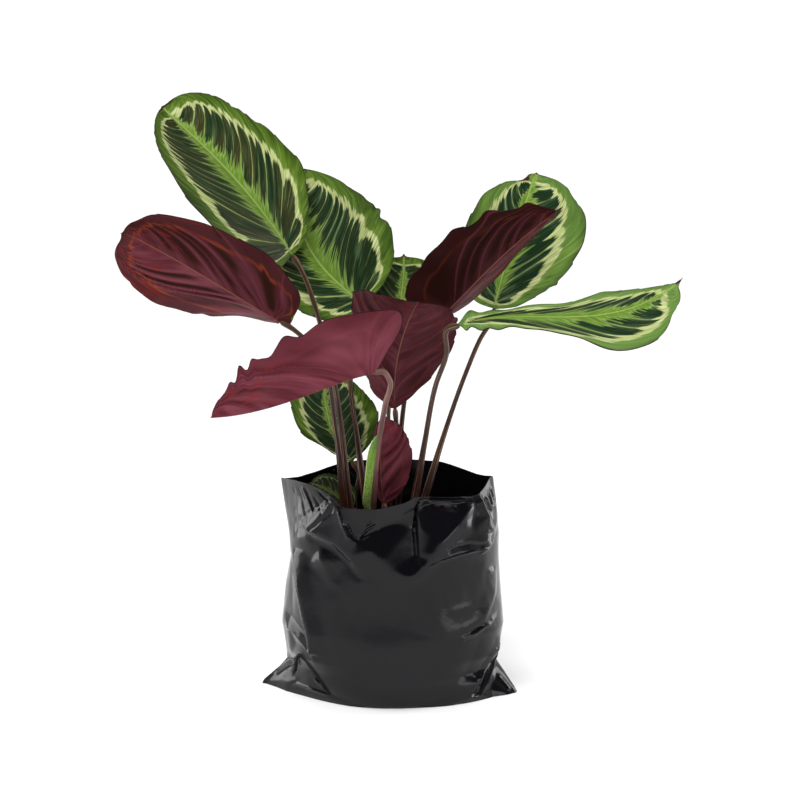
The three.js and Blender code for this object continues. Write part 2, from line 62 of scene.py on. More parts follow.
def along(values, t):   # a value given at the base, in the middle and at the tip
    a, b, c = values
    return a * (1 - t) * (1 - 2 * t) + 4 * b * t * (1 - t) + c * t * (2 * t - 1)


def bell(away, width):
    return np.exp(-(away / width) ** 2)


def squareTo(v, way):   # what is left of v at right angles to way
    return unit(v - (v * way).sum(-1, keepdims=True) * way)


# meshes: a grid is added, then its points are moved where the piece wants them

def readVectors(elements, name):    # one row for each element
    flat = np.zeros(len(elements) * 3)
    elements.foreach_get(name, flat)
    return flat.reshape(-1, 3)


def writePlaces(mesh, places):  # in metres
    mesh.vertices.foreach_set("co", places.ravel())
    mesh.update()


def addGrid(name, across, lengthwise):
    bpy.ops.object.select_all(action="DESELECT")
    bpy.ops.mesh.primitive_grid_add(x_subdivisions=across, y_subdivisions=lengthwise, size=1)
    piece = bpy.context.object
    piece.name = name
    piece.data.name = name
    return piece


def placeGrid(piece, points):   # points[lengthwise][across] in millimetres
    flat = readVectors(piece.data.vertices, "co")
    rows, columns = points.shape[0] - 1, points.shape[1] - 1
    j = np.rint((flat[:, 0] + 0.5) * columns).astype(int)
    i = np.rint((flat[:, 1] + 0.5) * rows).astype(int)
    writePlaces(piece.data, points[i, j] * mm)
    return i, j


def activate(piece):
    bpy.ops.object.select_all(action="DESELECT")
    piece.select_set(True)
    bpy.context.view_layer.objects.active = piece


def editMesh(piece, *steps):    # each step is an operator with its settings, run on the whole mesh
    activate(piece)
    bpy.ops.object.mode_set(mode="EDIT")
    bpy.ops.mesh.select_mode(type="VERT")
    for operator, settings in steps:
        bpy.ops.mesh.select_all(action="SELECT")
        operator(**settings)
    bpy.ops.object.mode_set(mode="OBJECT")


def applyModifier(piece, kind, **settings):
    modifier = piece.modifiers.new(kind.title(), kind)
    for key, value in settings.items():
        setattr(modifier, key, value)
    bpy.context.view_layer.objects.active = piece
    bpy.ops.object.modifier_apply(modifier=modifier.name)


def smoothShade(piece, angle):  # edges sharper than the angle stay sharp
    activate(piece)
    bpy.ops.object.shade_smooth_by_angle(angle=math.radians(angle))


def writeUv(piece, name, values):   # values holds one pair for each vertex
    mesh = piece.data
    layer = mesh.uv_layers[0] if mesh.uv_layers else mesh.uv_layers.new(name=name)
    layer.name = name
    corner = np.zeros(len(mesh.loops), int)
    mesh.loops.foreach_get("vertex_index", corner)
    layer.data.foreach_set("uv", values[corner].astype(np.float32).ravel())


def writeValue(piece, name, values):
    layer = piece.data.attributes.new(name, "FLOAT", "POINT")
    layer.data.foreach_set("value", np.asarray(values, np.float32))


# materials: nodes are added by what they do, and each returns its output

class Nodes:
    def __init__(self, name, colours=None):
        self.colours = colours  # blend and cover also take a colour by its name in here
        self.material = bpy.data.materials.new(name)
        self.material.use_nodes = True
        self.tree = self.material.node_tree
        self.shader = self.tree.nodes["Principled BSDF"]

    def add(self, kind, inputs, **settings):
        node = self.tree.nodes.new(kind)
        for key, value in settings.items():
            setattr(node, key, value)
        for key, value in inputs.items():
            self.feed(node.inputs[key], value)
        return node

    def feed(self, socket, value):
        if isinstance(value, bpy.types.NodeSocket):
            self.tree.links.new(value, socket)
        else:
            socket.default_value = value

    def calc(self, operation, a, b=0.0, c=0.0):
        return self.add("ShaderNodeMath", {0: a, 1: b, 2: c}, operation=operation).outputs[0]

    def step(self, low, high, value):   # 0 below low, 1 above high, smooth between
        node = self.add("ShaderNodeMapRange", {"Value": value, "From Min": low, "From Max": high},
                        interpolation_type="SMOOTHSTEP")
        return node.outputs["Result"]

    def less(self, low, high, value):   # 1 below low, 0 above high
        return self.minus(1.0, self.step(low, high, value))

    def scale(self, value, low, high):  # a value from 0 to 1 spread over low to high
        return self.calc("MULTIPLY_ADD", value, high - low, low)

    def plus(self, a, b):
        return self.calc("ADD", a, b)

    def minus(self, a, b):
        return self.calc("SUBTRACT", a, b)

    def times(self, *values):
        product = values[0]
        for value in values[1:]:
            product = self.calc("MULTIPLY", product, value)
        return product

    def blend(self, factor, a, b):
        node = self.tree.nodes.new("ShaderNodeMix")
        node.data_type = "RGBA"
        for place, value in ((0, factor), (6, a), (7, b)):
            self.feed(node.inputs[place], self.colours[value] if isinstance(value, str) else value)
        return node.outputs[2]

    def cover(self, under, over, *shares):  # over laid on under, as strongly as the product of the shares
        return self.blend(self.times(*shares), under, over)

    def ramp(self, value, stops):
        node = self.add("ShaderNodeValToRGB", {"Fac": value})
        elements = node.color_ramp.elements
        while len(elements) < len(stops):
            elements.new(0.5)
        for element, (place, colour) in zip(elements, stops):
            element.position = place
            element.color = colour
        return node.outputs["Color"]

    def vector(self, x, y=0.0, z=0.0):
        return self.add("ShaderNodeCombineXYZ", {"X": x, "Y": y, "Z": z}).outputs[0]

    def split(self, vector):
        return self.add("ShaderNodeSeparateXYZ", {0: vector}).outputs[:3]

    def noise(self, vector, scale=1.0, detail=2.0, rough=0.5):
        node = self.add("ShaderNodeTexNoise", {"Vector": vector, "Scale": scale, "Detail": detail,
                                               "Roughness": rough})
        return node.outputs["Fac"]

    def attribute(self, name):
        return self.add("ShaderNodeAttribute", {}, attribute_name=name).outputs["Fac"]

    def objectPlace(self):
        return self.tree.nodes.new("ShaderNodeTexCoord").outputs["Object"]

    def uv(self, name):
        return self.add("ShaderNodeUVMap", {}, uv_map=name).outputs[0]

    def finish(self, colour, rough, bump=None, strength=0.3, depth=0.001, **constants):
        self.feed(self.shader.inputs["Base Color"], colour)
        self.feed(self.shader.inputs["Roughness"], rough)
        if bump is not None:
            node = self.add("ShaderNodeBump", {"Height": bump, "Strength": strength, "Distance": depth})
            self.feed(self.shader.inputs["Normal"], node.outputs[0])
        for key, value in constants.items():
            self.shader.inputs[key.replace("_", " ")].default_value = value
        return self.material


def tint(*eye):     # red, green and blue as the eye names them, 0 to 255, made linear
    linear = [c / 255 / 12.92 if c <= 10 else ((c / 255 + 0.055) / 1.055) ** 2.4 for c in eye]
    return (*linear, 1.0)


# camera: eye level a little above the leaves, looking down on the bag's mouth
view = dict(target=(11, 0, 299), distance=2600, down=11.5, lens=117, sensor=36, farthest=60)


def setCamera():
    target = Vector(view["target"]) * mm
    pitch = math.radians(view["down"])
    eye = target + Vector((0, -math.cos(pitch), math.sin(pitch))) * view["distance"] * mm
    bpy.ops.object.camera_add(location=eye, rotation=(target - eye).to_track_quat("-Z", "Y").to_euler())
    camera = bpy.context.object
    camera.data.lens = view["lens"]
    camera.data.sensor_width = view["sensor"]
    camera.data.clip_end = view["farthest"]
    bpy.context.scene.camera = camera


# studio: a white floor, an even soft key over the whole floor, a tall soft box behind the object on either
# side, and a low panel at the right front that shows only as gloss
studio = dict(
    floorSize=90, floorColours=(tint(250, 250, 250), tint(247, 247, 247)),
    # the room behind is light, and on the viewer's side it darkens from the horizon upward
    sky=dict(back=0.8, horizon=0.85, above=0.06, darkFrom=0.02, darkAt=0.32, front=-0.5, rear=0.7),
    key=dict(place=(-0.2, -0.85, 1.3), power=2.9, spread=48),
    boxes=[
        dict(name="leftBox", place=(-1.05, 0.25, 0.52), wide=0.55, tall=1.0, power=8),
        dict(name="fillBox", place=(1.15, -0.95, 0.17), wide=0.9, tall=0.3, power=2),
        dict(name="rightBox", place=(1.05, 0.35, 0.52), wide=0.4, tall=1.0, power=7),
    ],
)


def setStudio():
    bpy.ops.mesh.primitive_plane_add(size=studio["floorSize"])
    floor = bpy.context.object
    floor.name = "studioFloor"
    make = Nodes("floorPaint")
    colour = make.blend(make.noise(make.objectPlace(), 9, 3), *studio["floorColours"])
    floor.data.materials.append(make.finish(colour, 0.9))
    setSky()
    bpy.context.scene.view_settings.view_transform = "Standard"
    key = studio["key"]
    light = addLight("keyLight", "SUN", key["place"], Vector((0, 0, 0)), key["power"])
    light.angle = math.radians(key["spread"])
    for box in studio["boxes"]:
        light = addLight(box["name"], "AREA", box["place"], Vector((0, 0, box["place"][2])), box["power"])
        light.shape = "RECTANGLE"
        light.size = box["wide"]
        light.size_y = box["tall"]
    bpy.data.objects["fillBox"].visible_diffuse = False


def addLight(name, kind, place, aim, power):
    turn = (aim - Vector(place)).to_track_quat("-Z", "Y").to_euler()
    bpy.ops.object.light_add(type=kind, location=place, rotation=turn)
    lamp = bpy.context.object
    lamp.name = name
    lamp.visible_camera = False
    # the key lights the colours, and only the boxes and the sky show as gloss
    lamp.visible_glossy = kind != "SUN"
    lamp.data.energy = power
    return lamp.data


def setSky():
    sky = studio["sky"]
    world = bpy.data.worlds.new("studioSky")
    world.use_nodes = True
    tree = world.node_tree
    place = tree.nodes.new("ShaderNodeTexCoord")
    axes = tree.nodes.new("ShaderNodeSeparateXYZ")
    tree.links.new(place.outputs["Generated"], axes.inputs[0])
    spreads = []
    for axis, span in (("Z", (sky["darkFrom"], sky["darkAt"], sky["horizon"], sky["above"])),
                       ("Y", (sky["front"], sky["rear"], 0, 1))):
        spread = tree.nodes.new("ShaderNodeMapRange")
        spread.interpolation_type = "SMOOTHSTEP"
        for name, value in zip(("From Min", "From Max", "To Min", "To Max"), span):
            spread.inputs[name].default_value = value
        tree.links.new(axes.outputs[axis], spread.inputs["Value"])
        spreads.append(spread.outputs["Result"])
    join = tree.nodes.new("ShaderNodeMix")
    tree.links.new(spreads[1], join.inputs[0])
    tree.links.new(spreads[0], join.inputs[2])
    join.inputs[3].default_value = sky["back"]
    tree.links.new(join.outputs[0], tree.nodes["Background"].inputs["Strength"])
    tree.nodes["Background"].inputs["Color"].default_value = (1, 1, 1, 1)
    bpy.context.scene.world = world


# leaves, in millimetres and degrees. midrib runs base to tip through four points; face is where the upper
# side looks at the base and at the tip; left and right are seen from above with the tip ahead. bumps are
# places on an edge, each with how far out, how far up and how wide; corner and heel are how far back a half
# reaches at its pointed lower corner and beside the stalk. quilt is how high the blade swells between its
# veins, and leans how far they run forward on their way to the edge, each for left and right
bladeShape = dict(
    thick=0.8, rows=130, columns=32, baseHalf=1.9, tipHalf=0.6, foldRun=5, bendSteps=24, lobeStart=0.12,
    fanEnd=0.14, fanShare=0.22, fanRun=0.05, veinJitter=0.15, rightShift=0.35, teeth=1.7, toothReach=1.3,
    ribWidth=1.6, ribDepth=1.5, ribDepthTip=0.3, ribGroove=0.35, columnSpread=1.35,
    waveEnds=0.6, waveSpread=2.5, cornerAt=0.12, cornerRun=0.1, heelAt=0.02, heelRun=0.09, dripFrom=0.94,
)

# what a half and a leaf have where their own entry says nothing else
halfUsual = dict(
    form=(0.5, 0.5), lobe=0, shoulder=6, fold=(5, 5, 5), curl=(5, 5, 5), corner=0, heel=0, bumps=(),
)
leafUsual = dict(
    waves=3, wave=3, phases=(0.3, 0.7), radii=(3.6, 2.3), scallop=0.012, drip=2, tipBend=(1.0, 0),
    # the drawing: feather along the midrib, olive and grey bands in the dark field (the grey bands are
    # painted sheen), the ring and where it lies, a pale margin; tone and show are for the underside, and
    # bright darkens what lies in the shade
    feather=1.0, olive=0.5, band=0.3, ring=1.0, ringAt=0.76, fresh=0.0, tone=0.5, show=0.6, bright=1.0,
)

leaves = {
    "A": dict(
        midrib=[(-96, 15, 443), (-133, 12, 497), (-175, 25, 542), (-226, 48, 586)],
        face=[(0.3, -0.85, 0.45), (0.1, -0.8, 0.6)],
        left=dict(half=72, form=(0.36, 0.58), lobe=4, shoulder=0, fold=(20, 22, 10), curl=(10, 10, 10),
                  bumps=[(0.35, 3, 0, 0.2)]),
        right=dict(half=63, form=(0.5, 0.4), lobe=6, shoulder=10, fold=(8, 4, 0), curl=(-5, -10, -5),
                   bumps=[(0.9, -1, 1, 0.04), (0.78, -2, 0, 0.03), (0.66, -3, 0, 0.06),
                          (0.36, 7, 0, 0.12)]),
        stalk=[(-37, -7), (-43, -2, 215), (-49, 5, 278), (-67, 8, 369)], wave=2.5, phases=(0.1, 0.5),
        radii=(3.8, 2.4), veins=13, quilt=(0.7, 0.7), leans=((0.5, 0.2), (0.38, 0.15)), drip=1,
        tipBend=(0.95, 25), olive=0.8, band=0.35, bright=(0.75, 1.0), seed=1),
    "B": dict(
        midrib=[(-25, 40, 388), (-62, 42, 421), (-87, 50, 461), (-93, 66, 524)],
        face=[(-0.1, -0.9, 0.4), (-0.1, -0.85, 0.5)],
        left=dict(half=56, lobe=4, shoulder=0, fold=(15, 15, 5)),
        right=dict(half=84, form=(0.42, 0.5), lobe=16, shoulder=8, curl=(-10, -15, -10),
                   bumps=[(0.94, 5, 0, 0.05), (0.83, 5, 1, 0.06), (0.72, 3, 2, 0.05),
                          (0.45, -7, 0, 0.09)]),
        stalk=[(-20, 1), (-27, 10, 215), (-32, 18, 254), (-38, 32, 325)], wave=2.5, radii=(3.6, 2.4),
        veins=10, quilt=(0.9, 1.4), leans=((0.35, 0.15), (0.55, 0.25)), feather=1.15, olive=0.2, band=1.4,
        ring=1.2, ringAt=0.74, fresh=0.1, seed=2),
    "C": dict(
        midrib=[(-107, -30, 384), (-149, -38, 411), (-197, -46, 442), (-258, -38, 474)],
        face=[(0.05, 0.95, 0.25), (0.05, 0.95, 0.25)],
        left=dict(half=51, form=(0.34, 0.46), lobe=10, shoulder=4, heel=13, bumps=[(0.96, -4, 0, 0.03)]),
        right=dict(half=61, form=(0.45, 0.4), shoulder=24, fold=(62, 22, 0), curl=(0, 5, 10),
                   bumps=[(0.88, 2, 0, 0.04), (0.8, 0, -2, 0.03), (0.64, 3, 5, 0.035),
                          (0.5, -1, -2, 0.03), (0.38, -1, 4, 0.035), (0.15, -7, 0, 0.16)]),
        stalk=[(-43, -17), (-47, -17, 215), (-53, -19, 272), (-68, -26, 346)], veins=7, quilt=(2.2, 3.2),
        # C's tone is darker on its upper, left half: painted shade on the half that lies in shadow
        scallop=0.02, leans=((0.65, 0.2), (0.7, 0.2)), tipBend=(0.93, -60), tone=(0.45, 0.75), show=1.0,
        seed=3),
    "D": dict(
        midrib=[(-1, 55, 288), (3, 62, 333), (11, 72, 383), (15, 85, 431)],
        face=[(0.05, -0.9, 0.4), (0.05, -0.85, 0.5)],
        left=dict(half=48, form=(0.9, 0.55), lobe=6),
        right=dict(half=50, form=(0.9, 0.55), lobe=6),
        stalk=[(-7, 9), (-2, 20, 205), (-1, 36, 250)], wave=2.5, radii=(3.2, 2), veins=11,
        quilt=(0.7, 0.7), leans=((0.4, 0.15), (0.4, 0.15)), drip=3, olive=0.3, band=0.5, bright=0.9,
        seed=4),
    "E": dict(
        midrib=[(54, -20, 389), (84, -26, 421), (117, -28, 454), (164, -18, 491)],
        face=[(0.1, 0.98, 0.15), (0.1, 0.98, 0.15)],
        left=dict(half=40, form=(0.6, 0.8), shoulder=0, fold=(66, 68, 70), curl=(0, 0, 0)),
        right=dict(half=52, form=(0.38, 0.72), lobe=46, fold=(0, 0, 0),
                   bumps=[(0.91, 5, 3, 0.035), (0.72, 6, 4, 0.05), (0.6, -1, -1, 0.04),
                          (0.52, 2, 2, 0.04), (0.42, -1, 0, 0.05), (0.27, -3, 0, 0.05)]),
        stalk=[(1, -1), (7, 1, 215), (11, 2, 258), (20, -6, 321)], veins=6, quilt=(1.4, 2.4),
        scallop=0.02, leans=((0.6, 0.2), (0.6, 0.2)), drip=6, tone=(0.4, 0.03), show=0.9, seed=5),
    "F": dict(
        midrib=[(-15, -125, 351), (-55, -137, 341), (-107, -148, 324), (-166, -155, 314)],
        face=[(0, 0.2, 0.98), (0.1, 0.2, 0.98)],
        left=dict(half=60, form=(0.15, 0.47), lobe=44, shoulder=0, fold=(76, 76, 60), curl=(8, 8, 8),
                  corner=14,
                  bumps=[(0.52, 9, 0, 0.05), (0.63, -5, 0, 0.04), (0.73, 7, 0, 0.028),
                         (0.81, 14, 0, 0.028), (0.88, 6, 0, 0.02), (0.94, -1, 0, 0.02)]),
        right=dict(half=52, form=(0.3, 0.5), lobe=14, shoulder=0, fold=(78, 78, 10)),
        stalk=[(-18, -24), (-16, -38, 205), (-10, -72, 272), (-3, -100, 316), (1, -116, 342)],
        radii=(3.8, 2.6), veins=6, quilt=(2.4, 2.4), scallop=-0.03, leans=((0.55, 0.2), (0.55, 0.2)),
        drip=1, tone=(0.9, 0.85), show=0.25, seed=6),
    "G": dict(
        midrib=[(6, -25, 296), (7, -42, 340), (15, -68, 380), (27, -100, 413)],
        face=[(0, 0.9, 0.3), (0, 0.5, 0.85)],
        left=dict(half=54, form=(0.75, 0.5),
                  bumps=[(0.7, 3, 0, 0.02), (0.8, 3, 2, 0.025), (0.9, 3, 0, 0.02), (0.15, -4, 0, 0.06)]),
        right=dict(half=60, form=(1, 0.36), shoulder=10, curl=(5, 40, 5),
                   bumps=[(0.8, 3, 0, 0.02), (0.93, 3, 0, 0.02), (0.12, 9, 0, 0.1)]),
        stalk=[(8, -10), (10, -7, 205), (11, -9, 245)], radii=(3.4, 2.2), veins=6, quilt=(2.6, 3.2),
        scallop=-0.025, leans=((0.35, 0.15), (0.35, 0.15)), drip=3, tone=0.35, show=0.45, seed=7),
    "H": dict(
        midrib=[(67, -86, 390), (135, -98, 400), (205, -106, 404), (273, -104, 433)],
        face=[(0, -0.02, 1), (0, -1, 0.3)],
        left=dict(half=42, form=(0.4, 0.85), shoulder=0, fold=(0, -25, -25), curl=(0, 0, 0),
                  bumps=[(0.8, 3, 0, 0.07), (0.68, 3, 1, 0.06), (0.33, -3, -1, 0.08),
                         (0.14, 0, 4, 0.06), (0.04, 4, 6, 0.03)]),
        right=dict(half=52, form=(0.62, 0.48), shoulder=0, fold=(0, 10, 0), curl=(5, 25, 0),
                   bumps=[(0.05, 5, -5, 0.02), (0.13, 4, -8, 0.04), (0.21, 4, -9, 0.05),
                          (0.4, -7, 4, 0.08), (0.58, 0, 9, 0.09), (0.93, -8, 0, 0.05)]),
        stalk=[(18, -19), (26, -25, 205), (35, -40, 262), (46, -62, 327), (56, -75, 360)],
        radii=(3.6, 2.5), veins=7, quilt=(1.0, 1.0), scallop=0.015, leans=((0.5, 0.2), (0.5, 0.2)),
        drip=9, feather=1.5, olive=0.1, band=0.9, ring=1.7, ringAt=0.7, fresh=0.55, seed=8),
    "I": dict(
        midrib=[(106, 36, 386), (117, 38, 430), (132, 46, 477), (148, 66, 518)],
        face=[(-0.05, -0.9, 0.4), (-0.05, -0.85, 0.5)],
        left=dict(half=50, form=(0.48, 0.66), lobe=4, shoulder=0,
                  bumps=[(0.93, -13, 0, 0.04), (0.74, 3, 0, 0.08), (0.05, -2, 0, 0.03)]),
        right=dict(half=68, form=(0.74, 0.47),
                   bumps=[(0.97, -3, 1, 0.03), (0.88, -8, -2, 0.07), (0.6, 1, 0, 0.08),
                          (0.3, 3, 2, 0.02), (0.24, 1, -2, 0.02), (0.05, 4, 0, 0.06)]),
        stalk=[(24, -3), (38, 2, 205), (53.5, 12, 255), (76.5, 23, 320), (92, 30, 356)],
        veins=8, quilt=(0.9, 0.9), scallop=0.015, leans=((0.45, 0.25), (0.45, 0.25)), feather=1.1,
        olive=0.0, band=1.2, ring=1.4, ringAt=0.68, fresh=0.35, seed=9),
    "J": dict(
        midrib=[(-38, 30, 229), (-54, 32, 253), (-64, 36, 283), (-64, 42, 322)],
        face=[(-0.1, -0.9, 0.4), (-0.1, -0.85, 0.5)],
        left=dict(half=34, form=(1.0, 0.5),
                  bumps=[(0.75, 2, 0, 0.06), (0.3, -8, 0, 0.16), (0.14, -3, 0, 0.06)]),
        right=dict(half=50, lobe=8),
        stalk=[(-34, 18), (-35, 25, 192)], waves=2, wave=2, radii=(3, 2), veins=8, quilt=(0.6, 0.6),
        leans=((0.4, 0.15), (0.4, 0.15)), drip=3, feather=0.6, olive=0.2, band=0.5, ring=1.4, ringAt=0.72,
        bright=0.72, seed=10),
    "K": dict(
        midrib=[(-5, -28, 200), (-8, -31, 230), (-8, -34, 258), (-3, -32, 287)],
        face=[(0, 0.9, 0.3), (0, 0.9, 0.3)],
        left=dict(half=31),
        right=dict(half=14, fold=(50, 60, 50)),
        stalk=[(-4, -19), (-4, -24, 182)], wave=1.5, radii=(2.6, 2), veins=5, quilt=(4.0, 3.0),
        scallop=0.03, leans=((0.4, 0.15), (0.4, 0.15)), tone=(0.62, 0.45), show=0.3, seed=11),
    "L": dict(
        midrib=[(-38, 8, 186), (-50, 15, 195), (-64, 23, 202), (-80, 32, 206)],
        face=[(-0.1, -0.5, 0.8), (-0.1, -0.5, 0.8)],
        left=dict(half=20),
        right=dict(half=20),
        stalk=[(-28, 8)], waves=2, wave=1.5, radii=(2.4, 1.8), veins=7, quilt=(0.5, 0.5), scallop=0.01,
        leans=((0.35, 0.15), (0.35, 0.15)), feather=0.8, olive=1.0, ring=0.8, bright=0.22, seed=12),
}

for leaf in leaves.values():
    for entry, usual in ((leaf, leafUsual), (leaf["left"], halfUsual), (leaf["right"], halfUsual)):
        for key, value in usual.items():
            entry.setdefault(key, value)


def ribCurve(points, t):    # the cubic through four points, and its direction
    p0, p1, p2, p3 = [np.array(p, float) for p in points]
    c1 = (-5 * p0 + 18 * p1 - 9 * p2 + 2 * p3) / 6
    c2 = (2 * p0 - 9 * p1 + 18 * p2 - 5 * p3) / 6
    t = np.asarray(t, float)[..., None]
    place = (1 - t) ** 3 * p0 + 3 * (1 - t) ** 2 * t * c1 + 3 * (1 - t) * t ** 2 * c2 + t ** 3 * p3
    way = (1 - t) ** 2 * (c1 - p0) + 2 * (1 - t) * t * (c2 - c1) + t ** 2 * (p3 - c2)
    return place, unit(way)


# which vein a point lies on, as the place where that vein leaves the midrib, base 0 to tip 1
def veinPlace(t, q, lean):
    forward = lean[0] * q + lean[1] * q ** 2.5
    low, high = np.zeros_like(t * q), np.ones_like(t * q)
    for _ in range(22):     # halved until the place is found
        s = (low + high) / 2
        before = s + forward * (1 - s * s) * smooth(0, bladeShape["fanEnd"], s) < t
        low, high = np.where(before, s, low), np.where(before, high, s)
    return low


def veinPhase(leaf, onRight, t, q):     # a whole number on every vein
    start = veinPlace(t, q, leaf["leans"][onRight])
    # the veins stand closer together where they fan out from the base
    place = leaf["veins"] * (start + bladeShape["fanShare"] * (1 - np.exp(-start / bladeShape["fanRun"])))
    jitter = bladeShape["veinJitter"] * np.sin(2.3 * place + leaf["seed"] + 2 * onRight)
    return place + jitter + bladeShape["rightShift"] * onRight


def bladeGrid(leaf):
    shape = bladeShape
    t = (1 - np.cos(np.pi * np.arange(shape["rows"] + 1) / shape["rows"])) / 2
    edge = (np.arange(shape["columns"] + 1) / shape["columns"]) ** shape["columnSpread"]
    v = np.concatenate([-edge[:0:-1], edge])
    rib, way = ribCurve(leaf["midrib"], t)
    base, tip = [unit(np.array(f, float)) for f in leaf["face"]]
    up = squareTo(mix(base, tip, t[:, None]), way)
    out = np.cross(way, up)
    grid = np.zeros((len(t), len(v), 3))
    veins = np.zeros((len(t), len(v)))
    for side, pick in ((leaf["left"], v < 0), (leaf["right"], v >= 0)):
        q = np.abs(v[pick])[None, :]
        tt = t[:, None]
        root, end = side["form"]
        widest = root / (root + end)
        share = (tt / widest) ** root * ((1 - tt) / (1 - widest)) ** end
        onRight = int(side is leaf["right"])
        phase = veinPhase(leaf, onRight, tt, q)
        veins[:, pick] = phase
        ripple = np.abs(np.sin(np.pi * phase))          # 0 on a vein, 1 halfway to the next
        scallop = leaf["scallop"] * (ripple if leaf["scallop"] > 0 else ripple ** 0.7) * q ** 4
        half = np.maximum(side["half"] * share, mix(shape["baseHalf"], shape["tipHalf"], tt))
        across = np.zeros_like(tt * q)
        lift = np.zeros_like(across)
        for k in range(shape["bendSteps"]):
            run = (k + 0.5) / shape["bendSteps"] * q
            turn = np.radians(along(side["fold"], tt) * np.minimum(1, run * half / shape["foldRun"])
                              + along(side["curl"], tt) * run)
            across += np.cos(turn) * half * q / shape["bendSteps"]
            lift += np.sin(turn) * half * q / shape["bendSteps"]
        across *= 1 + scallop
        tooth = shape["teeth"] * phase % 1
        more = shape["toothReach"] * (tooth ** 1.5 - 0.4) * q ** 8 * np.sin(np.pi * tt) ** 0.5
        for place, outward, rise, wide in side["bumps"]:
            edgeward = bell(tt - place, wide) * q ** 4
            more += outward * edgeward
            lift += rise * edgeward
        across += np.cos(turn) * more
        lift += np.sin(turn) * more
        lift += (leaf["wave"] * np.sin(np.pi * tt) ** shape["waveEnds"] * q ** shape["waveSpread"]
                 * np.sin(2 * np.pi * (leaf["waves"] * tt + leaf["phases"][onRight])))
        fade = np.sin(np.pi * tt) ** 0.5 * smooth(0.02, 0.25, q)
        lift += leaf["quilt"][onRight] * fade * (ripple ** 0.8 - 0.6)
        lobe = np.maximum(0, np.minimum(share, 1) - shape["lobeStart"]) / (1 - shape["lobeStart"])
        sweep = q * q * lobe * (side["shoulder"] * tt ** 3 - side["lobe"] * (1 - tt) ** 3)
        sweep = sweep - side["corner"] * q ** 8 * bell(tt - shape["cornerAt"], shape["cornerRun"])
        heel = side["heel"] * smooth(0.05, 0.5, q) * (1 - 0.4 * q)
        sweep = sweep - heel * bell(tt - shape["heelAt"], shape["heelRun"])
        sweep = sweep + leaf["drip"] * smooth(shape["dripFrom"], 1, tt) * (1 - q) ** 3
        # the very tip may be bent over
        start, bend = leaf["tipBend"]
        past = np.maximum(tt - start, 0)
        length = np.linalg.norm(rib[-1] - rib[0]) * past
        turn = np.radians(bend) * past / max(1 - start, 0.001)
        sweep = sweep - length * (1 - np.sinc(turn / np.pi))
        lift += length * np.sin(turn / 2)
        sign = 2 * onRight - 1
        grid[:, pick] = (rib[:, None] + out[:, None] * (across * sign)[..., None]
                         + up[:, None] * lift[..., None] + way[:, None] * sweep[..., None])
    return grid, t, v, veins


def makeBlade(letter, leaf, materials):
    shape = bladeShape
    points, t, v, veins = bladeGrid(leaf)
    piece = addGrid("blade" + letter, len(v) - 1, len(t) - 1)
    i, j = placeGrid(piece, points)
    writeUv(piece, "leafMap", np.stack([t[i], 0.5 + 0.5 * v[j]], -1))
    writeValue(piece, "vein", veins[i, j] + 20)
    writeValue(piece, "seed", leaf["seed"] + 7.3 * (v[j] > 0))
    for key in ("tone", "feather", "olive", "band", "ring", "show", "bright", "ringAt", "fresh"):
        leftValue, rightValue = np.broadcast_to(leaf[key], 2)
        writeValue(piece, key, np.where(v[j] > 0, rightValue, leftValue))
    upper = squareTo(np.array(leaf["face"][0], float), ribCurve(leaf["midrib"], 0.0)[1])
    if (readVectors(piece.data.vertices, "normal").mean(0) * upper).sum() < 0:
        editMesh(piece, (bpy.ops.mesh.flip_normals, {}))
    for material in materials:
        piece.data.materials.append(material)
    applyModifier(piece, "SOLIDIFY", thickness=shape["thick"] * mm, offset=0, material_offset=1,
                  material_offset_rim=1)
    # the midrib stands out under the blade and is a shallow groove on top
    count = len(i)
    place = readVectors(piece.data.vertices, "co")
    down = unit(place[count:] - place[:count])
    away = np.linalg.norm(points[i, j] - points[i, len(v) // 2], axis=-1)
    rib = bell(away, shape["ribWidth"]) * mm
    place[count:] += down * (rib * mix(shape["ribDepth"], shape["ribDepthTip"], t[i]))[:, None]
    place[:count] += down * (rib * shape["ribGroove"])[:, None]
    writePlaces(piece.data, place)
    smoothShade(piece, 50)
    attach(piece, "root")
    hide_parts("leaf_%s_blade" % letter.lower())
    return piece


# colours of a leaf's upper side and underside
topColours = dict(
    # band is a grey-green sheen painted into the upper side's colour
    deep=tint(20, 44, 22), deepOlive=tint(58, 54, 24), band=tint(82, 106, 70), hair=tint(130, 146, 98),
    feather=tint(98, 134, 42), featherLight=tint(152, 178, 94), freshMargin=tint(122, 162, 84),
    grain=tint(30, 40, 18), ring=tint(170, 186, 108), ringLight=tint(222, 226, 168), margin=tint(54, 78, 16),
    marginLight=tint(94, 124, 36), marginDeep=tint(24, 48, 12), edge=tint(50, 34, 30), shade=tint(4, 6, 3),
)
underColours = dict(
    wine=tint(84, 30, 40), wineLight=tint(128, 64, 76), cell=tint(50, 22, 12), dark=tint(24, 7, 2),
    outside=tint(74, 32, 34), ring=tint(150, 66, 34), spot=tint(140, 40, 30), rib=tint(120, 84, 62),
    edge=tint(40, 20, 20),
)


